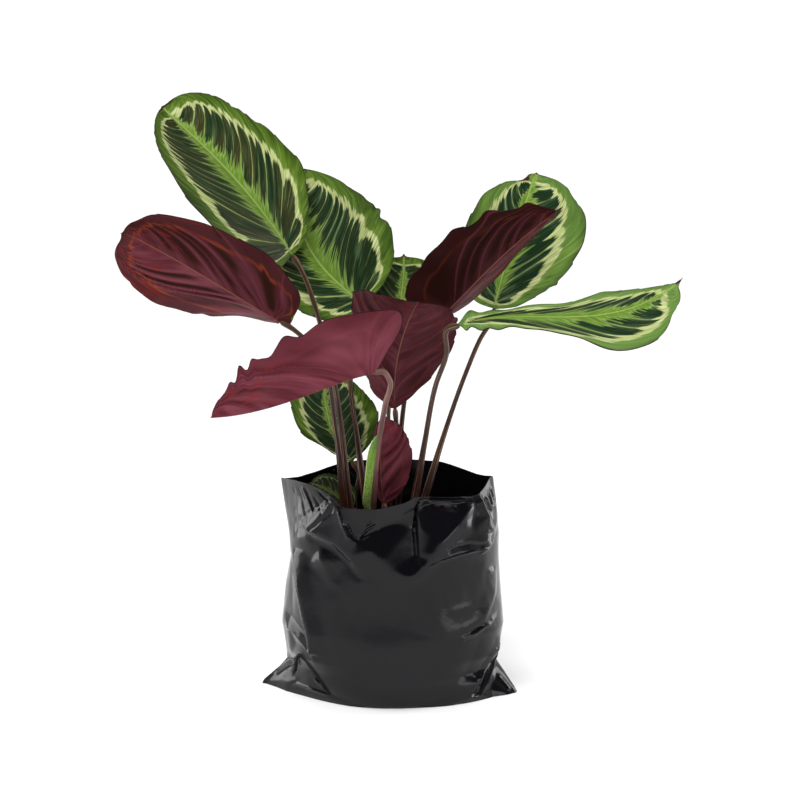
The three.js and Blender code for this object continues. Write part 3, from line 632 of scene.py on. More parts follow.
class LeafNodes(Nodes):     # noise drawn out along the veins, from the blade's own map
    def __init__(self, name, colours):
        super().__init__(name, colours)
        self.t, v, _ = self.split(self.uv("leafMap"))
        self.q = self.calc("ABSOLUTE", self.calc("MULTIPLY_ADD", v, 2.0, -1.0))
        self.vein = self.attribute("vein")
        self.seed = self.attribute("seed")
        self.away = self.calc("PINGPONG", self.vein, 0.5)   # 0 on a vein, 0.5 halfway to the next

    def lines(self, across, lengthwise, detail, shift):
        place = self.vector(self.times(self.vein, across), self.times(self.q, lengthwise),
                            self.plus(self.seed, shift))
        return self.noise(place, 1, detail, 0.6)

    def comb(self, across, lengthwise, shift, low=0.3, high=0.7, detail=2):     # lines with clear edges
        return self.step(low, high, self.lines(across, lengthwise, detail, shift))

    def rounded(self):  # like q, but it also rises towards the tip and the base, so that a ring closes there
        along = self.calc("MULTIPLY_ADD", self.t, 2.0, -1.0)
        tipward = self.calc("POWER", self.calc("MAXIMUM", along, 0.0), 2.6)
        baseward = self.calc("POWER", self.calc("MAXIMUM", self.times(along, -1.0), 0.0), 5.0)
        ends = self.calc("POWER", self.calc("MAXIMUM", tipward, baseward), 4.0)
        return self.calc("POWER", self.plus(self.calc("POWER", self.q, 4.0), ends), 0.25)


def leafTopMaterial():
    make = LeafNodes("calatheaTop", topColours)
    t, q, away = make.t, make.q, make.away
    out = make.rounded()
    broad = make.lines(0.9, 1.4, 2, 0.0)
    middle = make.lines(2.6, 1.6, 2, 3.1)
    streak = make.lines(7.0, 2.2, 3, 5.7)
    hair = make.lines(17.0, 2.6, 2, 7.9)
    comb = make.comb(24.0, 1.2, 15.3)
    spikes = make.comb(8.0, 0.7, 9.2, low=0.32)
    teeth = make.comb(3.7, 0.8, 12.4)
    onVein = make.less(0.0, 0.3, away)

    # the dark field: green to olive, grey bands of painted sheen beside some veins and along streaks, and
    # hair lines
    field = make.cover("deep", "deepOlive", make.attribute("olive"), make.step(0.36, 0.62, middle))
    field = make.cover(field, "band", make.attribute("band"), make.less(0.05, 0.3, away),
                       make.step(0.42, 0.6, broad), 0.75)
    field = make.cover(field, "band", make.step(0.5, 0.72, streak), 0.42)
    field = make.cover(field, "hair", make.step(0.56, 0.7, hair), make.step(0.35, 0.65, middle), 0.6)
    wide = make.scale(make.step(0.3, 0.7, streak), 0.012, 0.075)
    field = make.cover(field, "ring", make.less(0.35, 1.0, make.calc("DIVIDE", away, wide)),
                       make.step(0.36, 0.55, middle), 0.75)

    margin = make.cover("margin", "marginLight", make.step(0.34, 0.66, middle))
    margin = make.cover(margin, "freshMargin", make.attribute("fresh"))
    margin = make.cover(margin, "marginDeep", make.step(0.48, 0.72, streak), 0.5)
    margin = make.cover(margin, "ring", make.step(0.55, 0.72, hair), 0.35)
    margin = make.cover(margin, "marginDeep", make.step(0.86, 1.0, q), 0.45)

    # the ring between them: ragged streaks drawn inwards along the veins
    wander = make.calc("MULTIPLY_ADD", make.minus(broad, 0.5), 0.16, make.attribute("ringAt"))
    line = make.calc("MULTIPLY_ADD", onVein, -0.05, wander)
    ragged = make.plus(make.scale(spikes, 0.01, 0.045), make.times(comb, 0.03))
    thick = make.times(make.attribute("ring"), ragged)
    inner = make.minus(line, make.plus(thick, make.times(onVein, teeth, 0.12)))
    ragged = make.plus(make.scale(teeth, 0.004, 0.03), make.times(make.plus(comb, spikes), 0.014))
    past = make.minus(out, make.plus(line, make.times(make.attribute("ring"), ragged)))
    light = make.cover("ring", "ringLight", make.step(0.35, 0.68, hair))
    colour = make.cover(field, margin, make.step(-0.012, 0.018, past))
    colour = make.cover(colour, "featherLight", make.less(0.0, 0.1, make.calc("ABSOLUTE", past)),
                        make.step(0.45, 0.7, streak), 0.6)
    colour = make.cover(colour, light, make.step(-0.02, 0.02, make.minus(out, inner)),
                        make.less(-0.012, 0.016, past), make.scale(make.step(0.25, 0.5, streak), 0.45, 1.0),
                        make.scale(make.step(0.2, 0.45, comb), 0.7, 1.0))

    # the feather along the midrib, in spikes along the veins
    swell = make.calc("POWER", make.calc("SINE", make.times(t, math.pi * 0.96)), 0.8)
    reach = make.times(swell, make.attribute("feather"), 0.15)
    spike = make.plus(make.times(spikes, spikes, 1.2), make.times(make.less(0.0, 0.42, away), teeth, 1.1))
    inside = make.minus(make.times(reach, make.plus(spike, 0.5)), q)
    feather = make.step(-0.035, 0.03, inside)
    pale = make.calc("MAXIMUM", make.less(0.0, 0.09, inside), make.step(0.5, 0.75, hair))
    colour = make.cover(colour, make.cover("feather", "featherLight", pale, 0.8), feather)
    colour = make.cover(colour, "margin", feather, make.step(0.55, 0.75, streak), 0.5)
    colour = make.cover(colour, "ring", make.less(0.004, 0.022, q), 0.75)
    colour = make.cover(colour, "edge", make.step(0.982, 0.997, q))
    colour = make.cover(colour, "edge", make.step(0.985, 0.996, t))
    colour = make.cover(colour, "grain", make.comb(30.0, 3.5, 18.2, low=0.45, detail=3), 0.25)
    colour = make.cover("shade", colour, make.attribute("bright"))
    bump = make.calc("MULTIPLY_ADD", hair, 0.6, make.step(0.0, 0.2, away))
    return make.finish(colour, make.scale(middle, 0.36, 0.56), bump, 0.35, 0.0008, Specular_IOR_Level=0.13)


def leafUnderMaterial():
    make = LeafNodes("calatheaUnder", underColours)
    t, q, away = make.t, make.q, make.away
    broad = make.lines(0.8, 1.2, 2, 0.0)
    middle = make.lines(2.2, 1.3, 2, 3.1)
    streak = make.lines(6.0, 2.0, 2, 5.7)
    teeth = make.comb(3.4, 0.8, 9.2)
    show = make.attribute("show")
    colour = make.cover("wine", "wineLight", make.comb(1.5, 1.0, 3.1))
    # the pattern of the upper side shows through: a dark cell between veins, then a rusty ring
    line = make.calc("MULTIPLY_ADD", teeth, -0.09, make.scale(broad, 0.68, 0.82))
    toRing = make.minus(make.rounded(), line)
    colour = make.cover(colour, "cell", make.step(0.04, 0.4, away), make.step(0.06, 0.2, q),
                        make.less(-0.05, 0.02, toRing), make.step(0.3, 0.5, broad), show, 0.95)
    colour = make.cover(colour, "outside", make.step(0.0, 0.04, toRing), show, 0.7)
    colour = make.cover(colour, "ring", make.step(-0.03, 0.01, toRing), make.less(0.02, 0.07, toRing),
                        make.step(0.3, 0.55, middle), make.calc("POWER", show, 2.0), 0.9)
    spots = make.noise(make.vector(make.vein, make.times(q, 7.0), make.seed), 1.3, 3)
    colour = make.cover(colour, "spot", make.step(0.55, 0.68, spots), make.step(0.5, 0.85, t), 0.6)
    colour = make.cover(colour, "cell", make.step(0.45, 0.75, streak), 0.14)
    colour = make.cover(colour, "dark", make.scale(make.attribute("tone"), 0.85, -0.05))
    colour = make.cover(colour, "wineLight", make.less(0.0, 0.06, away), 0.22)
    colour = make.cover(colour, "rib", make.less(0.004, 0.016, q), 0.8)
    colour = make.cover(colour, "edge", make.step(0.98, 0.997, q))
    bump = make.calc("MULTIPLY_ADD", streak, 0.8, make.step(0.0, 0.25, away))
    return make.finish(colour, make.scale(middle, 0.45, 0.65), bump, 0.35, 0.0008, Specular_IOR_Level=0.06)


# stalks: upright out of the soil, wider in the sheath, one more swelling just under the blade
stalkShape = dict(
    foot=130, soilTop=161, sides=20, spacing=3.0, sheathSwell=0.25, sheathAt=82, sheathRun=32, taper=1.6,
    jointSwell=0.28, jointAt=7, jointRun=6, neckEnd=0.62, lead=10, beyond=8, gap=0.1,
    ridges=7, ridgeDepth=0.03,
    # the sheath's free edge is a low lip that winds round the lower stalk
    lip=0.16, lipLength=1.6, lipWidth=0.9, lipStart=1.2, lipWind=130,
)


def smoothPath(points, spacing):    # through all points but the first and the last
    points = [np.array(p, float) for p in points]
    gap = lambda k: np.linalg.norm(points[k + 1] - points[k])

    def slope(k):
        before = (points[k] - points[k - 1]) * gap(k) / gap(k - 1)
        after = (points[k + 1] - points[k]) * gap(k - 1) / gap(k)
        return (before + after) / (gap(k - 1) + gap(k))

    line = [points[1]]
    for k in range(1, len(points) - 2):
        steps = max(2, round(gap(k) / spacing))
        for i in range(1, steps + 1):
            f = i / steps
            place = points[k] * (2 * f ** 3 - 3 * f ** 2 + 1) + points[k + 1] * (3 * f ** 2 - 2 * f ** 3)
            line.append(place + slope(k) * (f ** 3 - 2 * f ** 2 + f) * gap(k)
                        + slope(k + 1) * (f ** 3 - f ** 2) * gap(k))
    return np.array(line)


def stalkLine(leaf):
    shape = stalkShape
    (x, y), *bends = leaf["stalk"]
    base, way = ribCurve(leaf["midrib"], 0.0)
    foot = np.array([x, y, shape["foot"]], float)
    path = [foot, (x, y, shape["soilTop"]), *bends, base - shape["lead"] * way, base - shape["gap"] * way,
            base + shape["beyond"] * way]
    line = np.vstack([foot[None], smoothPath(path, shape["spacing"])])
    return line, way


def makeStalk(letter, leaf, material):
    shape = stalkShape
    line, way = stalkLine(leaf)
    length = np.concatenate([[0], np.cumsum(np.linalg.norm(np.diff(line, axis=0), axis=1))])
    total = length[-1]
    thick, thin = leaf["radii"]
    ahead = np.vstack([upright[None], unit(line[2:] - line[:-2]), way[None]])
    sheath = 1 + shape["sheathSwell"] * bell(length - shape["sheathAt"], shape["sheathRun"])
    joint = 1 + shape["jointSwell"] * bell(total - length - shape["jointAt"], shape["jointRun"])
    radius = mix(thick, thin, np.minimum(1, shape["taper"] * length / total)) * sheath * joint
    radius[:2] = thick
    radius[-1] *= shape["neckEnd"]
    angle = 2 * np.pi * np.arange(shape["sides"] + 1) / shape["sides"]
    points = np.zeros((len(line), len(angle), 3))
    side = np.array([1.0, 0, 0])
    for k, (p, direction) in enumerate(zip(line, ahead)):
        side = squareTo(side, direction)
        back = np.cross(direction, side)
        lip = shape["lip"] * bell(length[k] - shape["sheathAt"], shape["lipLength"] * shape["sheathRun"])
        turn = (angle - shape["lipStart"] - length[k] / shape["lipWind"]) % (2 * np.pi)
        around = radius[k] * (1 + shape["ridgeDepth"] * np.cos(shape["ridges"] * angle)
                              + lip * np.exp(-turn / shape["lipWidth"]))
        points[k] = p + side * (np.cos(angle) * around)[:, None] + back * (np.sin(angle) * around)[:, None]
    points[:, -1] = points[:, 0]
    piece = addGrid("stalk" + letter, shape["sides"], len(line) - 1)
    i, j = placeGrid(piece, points)
    writeUv(piece, "stalkMap", np.stack([j / shape["sides"], length[i] * mm], -1))
    writeValue(piece, "height", length[i] / total)
    writeValue(piece, "seed", np.full(len(i), float(leaf["seed"])))
    piece.data.materials.append(material)
    closeTube(piece)
    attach(piece, "root")
    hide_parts("leaf_%s_stalk" % letter.lower())
    return piece


def closeTube(piece):   # joins the tube's long edges and fills its two ends
    editMesh(piece, (bpy.ops.mesh.remove_doubles, dict(threshold=0.00001)),
             (bpy.ops.mesh.fill_holes, dict(sides=0)),
             (bpy.ops.mesh.normals_make_consistent, dict(inside=False)))
    smoothShade(piece, 60)


def stalkMaterial():
    make = Nodes("petioleSkin")
    around, lengthwise, _ = make.split(make.uv("stalkMap"))
    seed = make.attribute("seed")

    def grain(across, along, *looks):
        place = make.vector(make.times(around, across), make.times(lengthwise, along), seed)
        return make.noise(place, 1, *looks)

    streak = grain(16.0, 12.0, 3, 0.6)
    patch = grain(2.0, 26.0, 3)
    colour = make.ramp(make.attribute("height"), [
        (0.0, tint(82, 38, 32)), (0.3, tint(60, 33, 24)), (0.7, tint(56, 36, 27)), (1.0, tint(92, 70, 50))])
    colour = make.cover(colour, tint(158, 118, 92), make.step(0.54, 0.66, streak), 0.85)
    colour = make.cover(colour, tint(22, 10, 8), make.step(0.52, 0.38, streak), 0.85)
    pale = leaves["F"]["seed"]      # leaf F's stalk alone is paler
    colour = make.cover(colour, tint(140, 98, 96), make.step(pale - 0.1, pale, seed),
                        make.step(pale + 0.1, pale, seed), 0.5)
    colour = make.cover(colour, tint(40, 18, 14), make.step(0.4, 0.6, patch), 0.4)
    return make.finish(colour, make.scale(streak, 0.38, 0.55), streak, 0.4, 0.0006, Specular_IOR_Level=0.25)


# the free edge of F's sheath, a thin green wing beside the lower stalk
sheathShape = dict(
    leaf="F", low=186, high=280, reach=8.5, root=1.5, toward=(-0.97, -0.24, 0), cup=2.2, twist=1.4,
    rows=46, columns=9, thick=0.7,
)


def makeSheath(material):
    shape = sheathShape
    line, _ = stalkLine(leaves[shape["leaf"]])
    f = np.linspace(0, 1, shape["rows"] + 1)
    height = mix(shape["low"], shape["high"], f)
    spine = np.stack([np.interp(height, line[:, 2], line[:, k]) for k in range(3)], -1)
    wave = 1 + 0.05 * np.sin(9 * f)
    reach = shape["reach"] * smooth(0, 0.2, f) * (1 - f ** 7) ** 0.7 * wave + shape["root"]
    across = np.linspace(0, 1, shape["columns"] + 1)
    toward, forward = np.array(shape["toward"]), np.array([0, -1.0, 0])
    cup = shape["cup"] * np.sin(np.pi * across) + shape["twist"] * across * np.sin(5 * f)[:, None]
    points = (spine[:, None] + toward * (reach[:, None] * across)[..., None]
              + forward * (cup + shape["root"])[..., None])
    piece = addGrid("sheathF", shape["columns"], shape["rows"])
    i, j = placeGrid(piece, points)
    writeUv(piece, "sheathMap", np.stack([across[j], f[i]], -1))
    piece.data.materials.append(material)
    applyModifier(piece, "SOLIDIFY", thickness=shape["thick"] * mm, offset=0)
    editMesh(piece, (bpy.ops.mesh.normals_make_consistent, dict(inside=False)))
    smoothShade(piece, 60)
    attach(piece, "root")
    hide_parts("leaf_f_stalk")
    return piece


def sheathMaterial():
    make = Nodes("youngSheath")
    across, up, _ = make.split(make.uv("sheathMap"))
    speck = make.noise(make.objectPlace(), 380, 3, 0.6)
    streak = make.noise(make.vector(make.times(across, 9.0), make.times(up, 3.0)), 1, 3)
    colour = make.ramp(up, [
        (0.0, tint(150, 160, 104)), (0.35, tint(128, 158, 70)),
        (0.8, tint(96, 136, 40)), (1.0, tint(60, 84, 30))])
    colour = make.cover(colour, tint(62, 92, 26), make.step(0.5, 0.66, speck), 0.7)
    colour = make.cover(colour, tint(168, 186, 110), make.step(0.5, 0.7, streak), 0.4)
    colour = make.cover(colour, tint(196, 204, 150), make.step(0.9, 1.0, across))
    return make.finish(colour, 0.55, speck, 0.2, 0.0005, Specular_IOR_Level=0.25)


# bag. levels is its outline by height: half widths to the left and right, half depths to the front and back,
# and how pointed the section is at its left and right ends. The film's folds are facets between points seen
# from the front or the back, each an x, a height and how far it is pushed in, and a crease runs through the
# points that its letters name: rimD creaseAB goes from the fourth of rim to the first two of crease
bagShape = dict(
    levels=[
        (0, 130, 130, 72, 66, 3.2, 1.6), (5, 128, 127.5, 75, 69, 3.0, 1.55),
        (12, 121, 122.5, 78, 71, 2.6, 1.5), (20, 113, 117, 80, 72, 2.1, 1.4),
        (31, 104, 108.5, 80, 73, 1.5, 1.25), (45, 105.5, 111.5, 80, 74, 1.0, 0.97),
        (72, 109, 116, 79, 75, 0.9, 0.9), (110, 105, 113, 77, 76, 0.9, 0.9),
        (141, 99.5, 111, 75, 77, 0.9, 0.9), (164, 101, 111, 75, 78, 1.0, 1.0),
        (190, 105, 108.5, 76, 79, 1.3, 1.3), (222, 109, 104.5, 77, 80, 1.7, 1.7),
    ],
    roundness=0.92, film=0.6, sharpEdge=60, backPoint=0.7, backPointUpTo=31, soften=0.8, rimHalf=107,
    rimPasses=8, columns=205, rows=84, frontFiner=0.35, foldFiner=0.8, cuts=2, refineWithin=2.5, refineWide=4,
    refineNarrow=3,
    # the drawn out corners of the base lie a little forward or back, from this far out and over this run
    cornerForward=(-11, 17), earFrom=104, earRun=25, earBelow=50,
    # between these heights grooves and fans fade out towards the two side folds
    plainFrom=(50, 62), plainTo=(190, 178), plainBeside=(0.92, 0.985),
    frontRim=[
        (-109, 219), (-93, 222), (-78, 222), (-66, 219), (-58, 216), (-53, 211), (-48, 206.5),
        (-43, 204.5), (-10, 204.5), (6, 208), (19, 210.5), (30, 215.5), (45, 213.5), (74, 210),
        (90, 209.5), (97, 214), (104, 221),
    ],
    backRim=[
        (-109, 219), (-99, 215), (-90, 213), (-75, 214), (-55, 218), (-40, 220), (0, 221), (40, 221),
        (55, 221.5), (75, 218), (90, 216), (98, 217), (105, 220),
    ],
    dents=[  # soft hollows: x, height, depth, half width, half height
        (-5, 95, 2.0, 55, 30), (60, 120, 1.2, 30, 22), (-45, 70, -1.2, 30, 30), (40, 45, 1.5, 40, 18),
        (5, 60, -1.5, 45, 20),
    ],
    frontPoints=dict(
        corner=[(-135, -9, 0), (135, -9, 0), (135, 235, 0), (-135, 235, 0)],
        mid=[(-135, 100, 0), (135, 110, 0), (10, -9, 0)],
        top=[(-80, 235, 0), (0, 235, 0), (50, 235, 3)],
        rim=[(-43, 205, -0.5), (-14, 205, 2), (12, 209, 4.5), (28, 217, 8), (35, 216, 4), (74, 211, 4),
            (92, 211, 0)],
        hollow=[(-31, 172, 2), (-18, 180, 8), (-3, 187, 12), (11, 190, 13), (25, 184, 13)],
        crease=[(30, 202, 13), (28, 182, 14), (28.5, 156, 7)],
        beside=[(36, 204, 12), (34, 182, 6), (34.5, 160, 1)],
        ledge=[(-18, 163, -1.5), (-7, 153.5, -2.5), (3, 143, -3), (16, 137, -3), (25, 138.5, -3)],
        below=[(-18, 136, 0.5), (10, 120, 0.5), (38, 130, 0.5)],
        diag=[(38, 153, -4), (50, 170, -4), (66, 186, -3), (85, 205, 0)],
        band=[(44, 207, 11), (74, 203, 5)],
        pocket=[(46, 196, 7.5), (42, 178, 2), (58, 190, 3)],
        streak=[(-22, 181, 5), (-15, 193, 3)],
        cheek=[(-56, 206, -1), (-80, 178, -3.5), (-70, 204, 2.5), (-75, 220, 2), (-91, 206, 3),
            (-99, 178, 2), (-88, 186, 1.5)],
        cheekTop=[(-58, 219, 1)],
        ridge=[(-49, 203, -1.5), (-44, 187, -2.5), (-37, 171, -1.5)],
        besideRidge=[(-57, 188, 0.5), (-36, 190, 1.5)],
        soft=[(-81, 172, 0), (-70, 164, 2.5), (-58, 160, 3), (-44, 150, 3), (-27, 132, 0),
            (-55, 170, -1.5), (-38, 156, -2), (-78, 150, 2), (-56, 125, 1), (-66, 148, -1.5)],
        brow=[(52, 154, -2), (72, 158, -2), (90, 158, -1.5), (104, 161, -0.5)],
        browTop=[(66, 168, -1.5), (84, 174, -0.5)],
        browLow=[(60, 147, 0), (84, 146, 0.5), (98, 146, 0)],
        edge=[(90, 207, -2), (97, 188, -2.5), (103, 170, -2), (84, 190, 1)],
        pinch=[(69, 70, 0), (87, 73, -0.5), (97, 79, -1), (110, 84, -1), (73, 80, 0), (88, 86, -0.5),
            (102, 96, 0.5), (68, 88, 0.5), (92, 66, 0.5), (74, 60, 0), (80, 100, 0), (90, 80, 0.5)],
        seam=[(-99, 160, -0.5), (-95, 143, -1), (-89, 116, -2), (-84, 91, -2), (-78.5, 72, -2),
            (-76, 53, -1.5)],
        front=[(-76, 130, 0), (-66, 100, 0), (-60, 62, 0)],
        side=[(-99, 120, 2), (-99, 84, 3)],
        sub=[(-100, 73, 0), (-89, 66, -1.5), (-81, 58, -2)],
        flank=[(-96, 58, 3)],
        tuck=[(-89, 51, 0), (-97, 19, 1.5), (-58, 14, 0), (-73, 37, -1), (-80, 34, 1), (-64, 13, 1),
            (-89, 42, 2), (-84, 24, 0), (-79, 10, -1), (-103, 30, 2), (-112, 8, 0), (-48, 22, 0)],
        fold=[(114, 62, -1), (101, 41, -3.5), (93, 25, -4), (80, 6, -3), (104, 38, 4), (96, 22, 4.5),
            (86, 7, 4), (108, 33, -1), (101, 19, -1), (92, 6, 0), (80, 36, 0.5), (64, 14, 0.5),
            (110, 16, 2.5)],
    ),
    frontCreases=[
        "rimD creaseABC", "rimE besideABC", "hollowABCDE creaseB", "hollowA ledgeABCDE diagABCD",
        "streakAB", "bandAB", "cheekAB", "cheekTopA cheekA", "ridgeABC hollowA", "cheekEF", "softABCDE",
        "softFG", "softHI", "diagA browABCD", "edgeABC browD", "pinchABCD", "pinchEF", "seamABCDEF",
        "subABC seamF", "tuckBADC", "tuckGEF", "foldABCD", "foldEFG", "foldHIJ",
    ],
    backPoints=dict(
        corner=[(-135, -9, 0), (135, -9, 0), (135, 235, 0), (-135, 235, 0)],
        mid=[(-135, 100, 0), (135, 110, 0), (0, -9, 0), (0, 235, 0)],
        centre=[(0, 100, 0)],
        rim=[(-50, 220, 0), (8, 221, 3), (62, 222, 0)],
        dip=[(-38, 196, 6), (-8, 178, 8), (30, 188, 6)],
        edge=[(-60, 178, -1.5), (-28, 158, -2), (8, 148, -2), (46, 160, -2), (74, 196, -1)],
        wrap=[(66, 154, 2.5), (54, 126, 2), (76, 128, -2.5), (58, 96, -1), (84, 92, 2.5), (-70, 150, 2.5),
            (-58, 118, 2), (-78, 122, -3), (-70, 84, -3), (-90, 88, 2), (-34, 120, 1), (-14, 84, -1.5),
            (22, 112, 1.5), (30, 64, -1)],
        tuck=[(-88, 50, -2), (-98, 17, 3), (-58, 10, -3), (-75, 33, -3.5), (-81, 30, 4), (-66, 10, 4),
            (-88, 37, 4), (-110, 8, 1)],
        fold=[(106, 58, -1), (90, 34, -3.5), (72, 6, -3), (95, 32, 3), (80, 8, 3.5), (110, 10, 1)],
    ),
    backCreases=[
        "dipABC", "edgeABCDE", "wrapAB", "wrapCD", "wrapFG", "wrapHI", "wrapKL", "wrapMN", "tuckBADC",
        "tuckGEF", "foldABC", "foldDE",
    ],
    # grooves are sharp folds along a line, pushed in, or out where the depth is negative: half width to the
    # left and to the right of its way, depth, and its points
    frontGrooves=[
        # the hollow, its two streaks and the upright crease
        (1.8, 1.8, 4.0, (34, 214), (31, 203), (29, 182)), (2.5, 2.5, 1.5, (29, 183), (29, 152)),
        (1.2, 1.2, -1.2, (31, 214), (28, 203)), (1.3, 1.3, -1.2, (37, 212), (34, 200)),
        (1.6, 1.6, 1.8, (-15, 193), (-25, 186)), (1.8, 1.8, 2.2, (-14, 188), (-22, 183), (-30, 175)),
        (1.3, 1.3, -1.1, (-18, 179), (-29, 172)),
        (16, 3, -1.5, (80, 206), (70, 196), (60, 187), (47, 173), (36, 157)),
        (1.3, 1.3, 1.6, (36, 212.5), (60, 210), (86, 207)),
        (1.4, 1.4, -1.2, (44, 210), (58, 208), (80, 205)),
        (1.5, 5.0, 2.2, (42, 206), (56, 203), (72, 200)),
        # the ridge left of it, and the cheek's pleats
        (1.5, 2.5, -1.6, (-49, 202), (-44, 187), (-38, 172)),
        (2.0, 2.6, 2.8, (-42, 191), (-37, 179), (-31, 171)),
        (1.5, 1.5, -0.9, (-88, 218), (-82, 205), (-76, 193)),
        (1.8, 3.0, 0.9, (-85, 219), (-79, 205), (-74, 194)),
        (1.5, 3.0, 0.7, (-92, 217), (-86, 198), (-81, 181)),
        (1.6, 1.6, 1.3, (-72, 218), (-65, 212), (-57, 208)),
        (1.5, 2.5, 0.8, (-76, 212), (-69, 201), (-65, 195)),
        (2.4, 2.4, 1.6, (-54, 206), (-57, 199), (-65, 191), (-79, 176)),
        (2.0, 2.0, 0.6, (-97, 215), (-95, 192), (-93, 170)),
        # soft folds below the cheek
        (5.0, 5.0, 1.4, (-81, 172), (-57, 164), (-45, 154)), (5.0, 5.0, 1.3, (-46, 154), (-25, 132)),
        (5.0, 5.0, -1.0, (-78, 148), (-54, 124)),
        # the right corner of the rim and the brow
        (2.0, 10, -1.7, (90, 207), (97, 188), (103, 171)), (1.4, 1.4, 1.8, (94, 205), (100, 190)),
        (1.4, 1.4, 1.8, (98, 208), (102, 193)), (1.3, 1.3, 1.5, (101, 212), (104, 199)),
        (1.3, 1.3, -1.3, (96, 206), (101, 191)), (2.0, 6.0, -1.8, (104, 162), (98, 156), (90, 152)),
        (2.0, 7.0, 1.2, (56, 162), (68, 165), (80, 165), (95, 161)),
        (1.3, 2.0, -1.3, (38, 146), (50, 151), (66, 155), (84, 157), (99, 156)),
        # the right edge and the pinch
        (3.5, 12, -1.8, (108, 135), (106, 112), (101, 96), (94, 86)),
        (3.0, 6.0, -0.6, (98, 87), (86, 83), (73, 78)),
        (2.5, 4.0, -1.0, (103, 79), (95, 78), (86, 73), (71, 68)), (3.0, 3.0, 0.6, (72, 97), (67, 81)),
        # the seam and the panel behind it
        (14, 3.0, -3.0, (-97, 152), (-95, 143), (-89, 116), (-84, 91), (-78.5, 72), (-76, 59), (-76, 51)),
        (8.0, 2.0, -1.7, (-105, 70), (-99, 73), (-89, 66), (-81, 58), (-76, 50)),
        # the corners of the base
        (4.0, 1.3, -2.3, (-92, 48), (-88, 47), (-77, 35), (-62, 12)),
        (1.6, 1.6, 1.6, (-84, 40), (-76, 30), (-68, 19)),
        (1.2, 2.4, 3.0, (-89, 47), (-94, 38), (-96, 22)),
        (3.0, 1.4, -1.7, (-116, 12), (-102, 27), (-96, 30)),
        (1.4, 3.0, -1.8, (-94, 12), (-79, 11.5), (-59, 9)), (1.6, 1.6, -1.3, (-76, 24), (-66, 15)),
        (1.4, 4.5, -1.6, (118, 68), (107, 51), (98, 38), (88, 20)),
        (1.6, 3.4, -2.2, (117, 56), (109, 43), (101, 30), (92, 14), (84, 5)),
        (1.6, 3.0, -2.2, (112, 42), (106, 32), (99, 18), (92, 8)), (1.4, 1.4, -1.2, (112, 18), (124, 3)),
    ],
    backGrooves=[
        (1.2, 3.0, 3.6, (-92, 52), (-86, 51), (-73, 37), (-60, 15)),
        (3.0, 1.5, -1.5, (-88, 46), (-79, 36), (-62, 11)),
        (2.0, 2.6, 2.0, (-90, 50), (-95, 36), (-96, 20)),
        (3.2, 1.2, 4.0, (108, 58), (98, 42), (89, 26), (79, 8)),
        (1.4, 1.4, -1.5, (110, 54), (102, 42), (94, 28), (85, 10)),
        (2.6, 2.6, 1.2, (60, 216), (66, 196), (70, 172)),
        (2.6, 2.6, -1.0, (63, 216), (70, 200), (76, 180)),
        (2.6, 2.6, 1.2, (-56, 214), (-62, 200), (-64, 180)),
        (2.6, 2.6, -1.0, (-60, 214), (-68, 198), (-74, 176)),
        (3.5, 8.0, 3.0, (-38, 195), (-10, 177), (30, 187)),
        (2.0, 10, -2.0, (96, 150), (92, 118), (86, 88), (84, 60)),
        (12, 2.5, -2.2, (-96, 148), (-90, 116), (-84, 84), (-80, 56)),
        (4.5, 4.5, 1.6, (40, 150), (20, 118)), (4.5, 4.5, 1.6, (-30, 140), (-50, 108)),
    ],
    grooveTaper=4,
    # the folded-in film at the corners of the base lets no light out, so shade is painted black along these
    # lines: half width, and the points of each
    tucks=[
        (2.4, (-92, 46), (-88, 48), (-77, 36), (-67, 22), (-58, 8)),
        (2.0, (-90, 49), (-94, 38), (-96, 26), (-99, 17)),
        (1.8, (119, 64), (108, 48), (99, 34), (89, 18)), (2.2, (113, 44), (106, 31), (98, 16), (90, 3)),
    ],
    # pleats that spread from one point: front or back, where they start, which way they run, how wide the fan
    # is, how long, how many pleats and how deep
    fans=[
        ("front", (-56, 217), 235, 55, 42, 5, 0.6), ("front", (97, 216), 285, 40, 46, 4, 0.8),
        ("front", (-60, 6), 75, 60, 38, 5, 0.7), ("front", (76, 2), 100, 60, 34, 4, 0.7),
        ("front", (30, 136), 270, 90, 40, 4, 0.5), ("front", (-82, 172), 310, 50, 46, 4, 0.7),
        ("back", (60, 222), 300, 60, 46, 5, 0.9), ("back", (-58, 222), 240, 60, 46, 5, 0.9),
        ("back", (-60, 8), 75, 70, 42, 5, 0.8), ("back", (72, 4), 105, 70, 42, 5, 0.8),
        ("back", (-6, 176), 270, 100, 48, 5, 0.6),
    ],
    wrinkles=150, wrinkleSeed=11, wrinkleHeight=(5, 215), wrinkleLean=35, wrinkleDepth=(0.1, 0.4),
    wrinkleWide=(3, 9), wrinkleLong=(8, 34), girthAt=90,
)


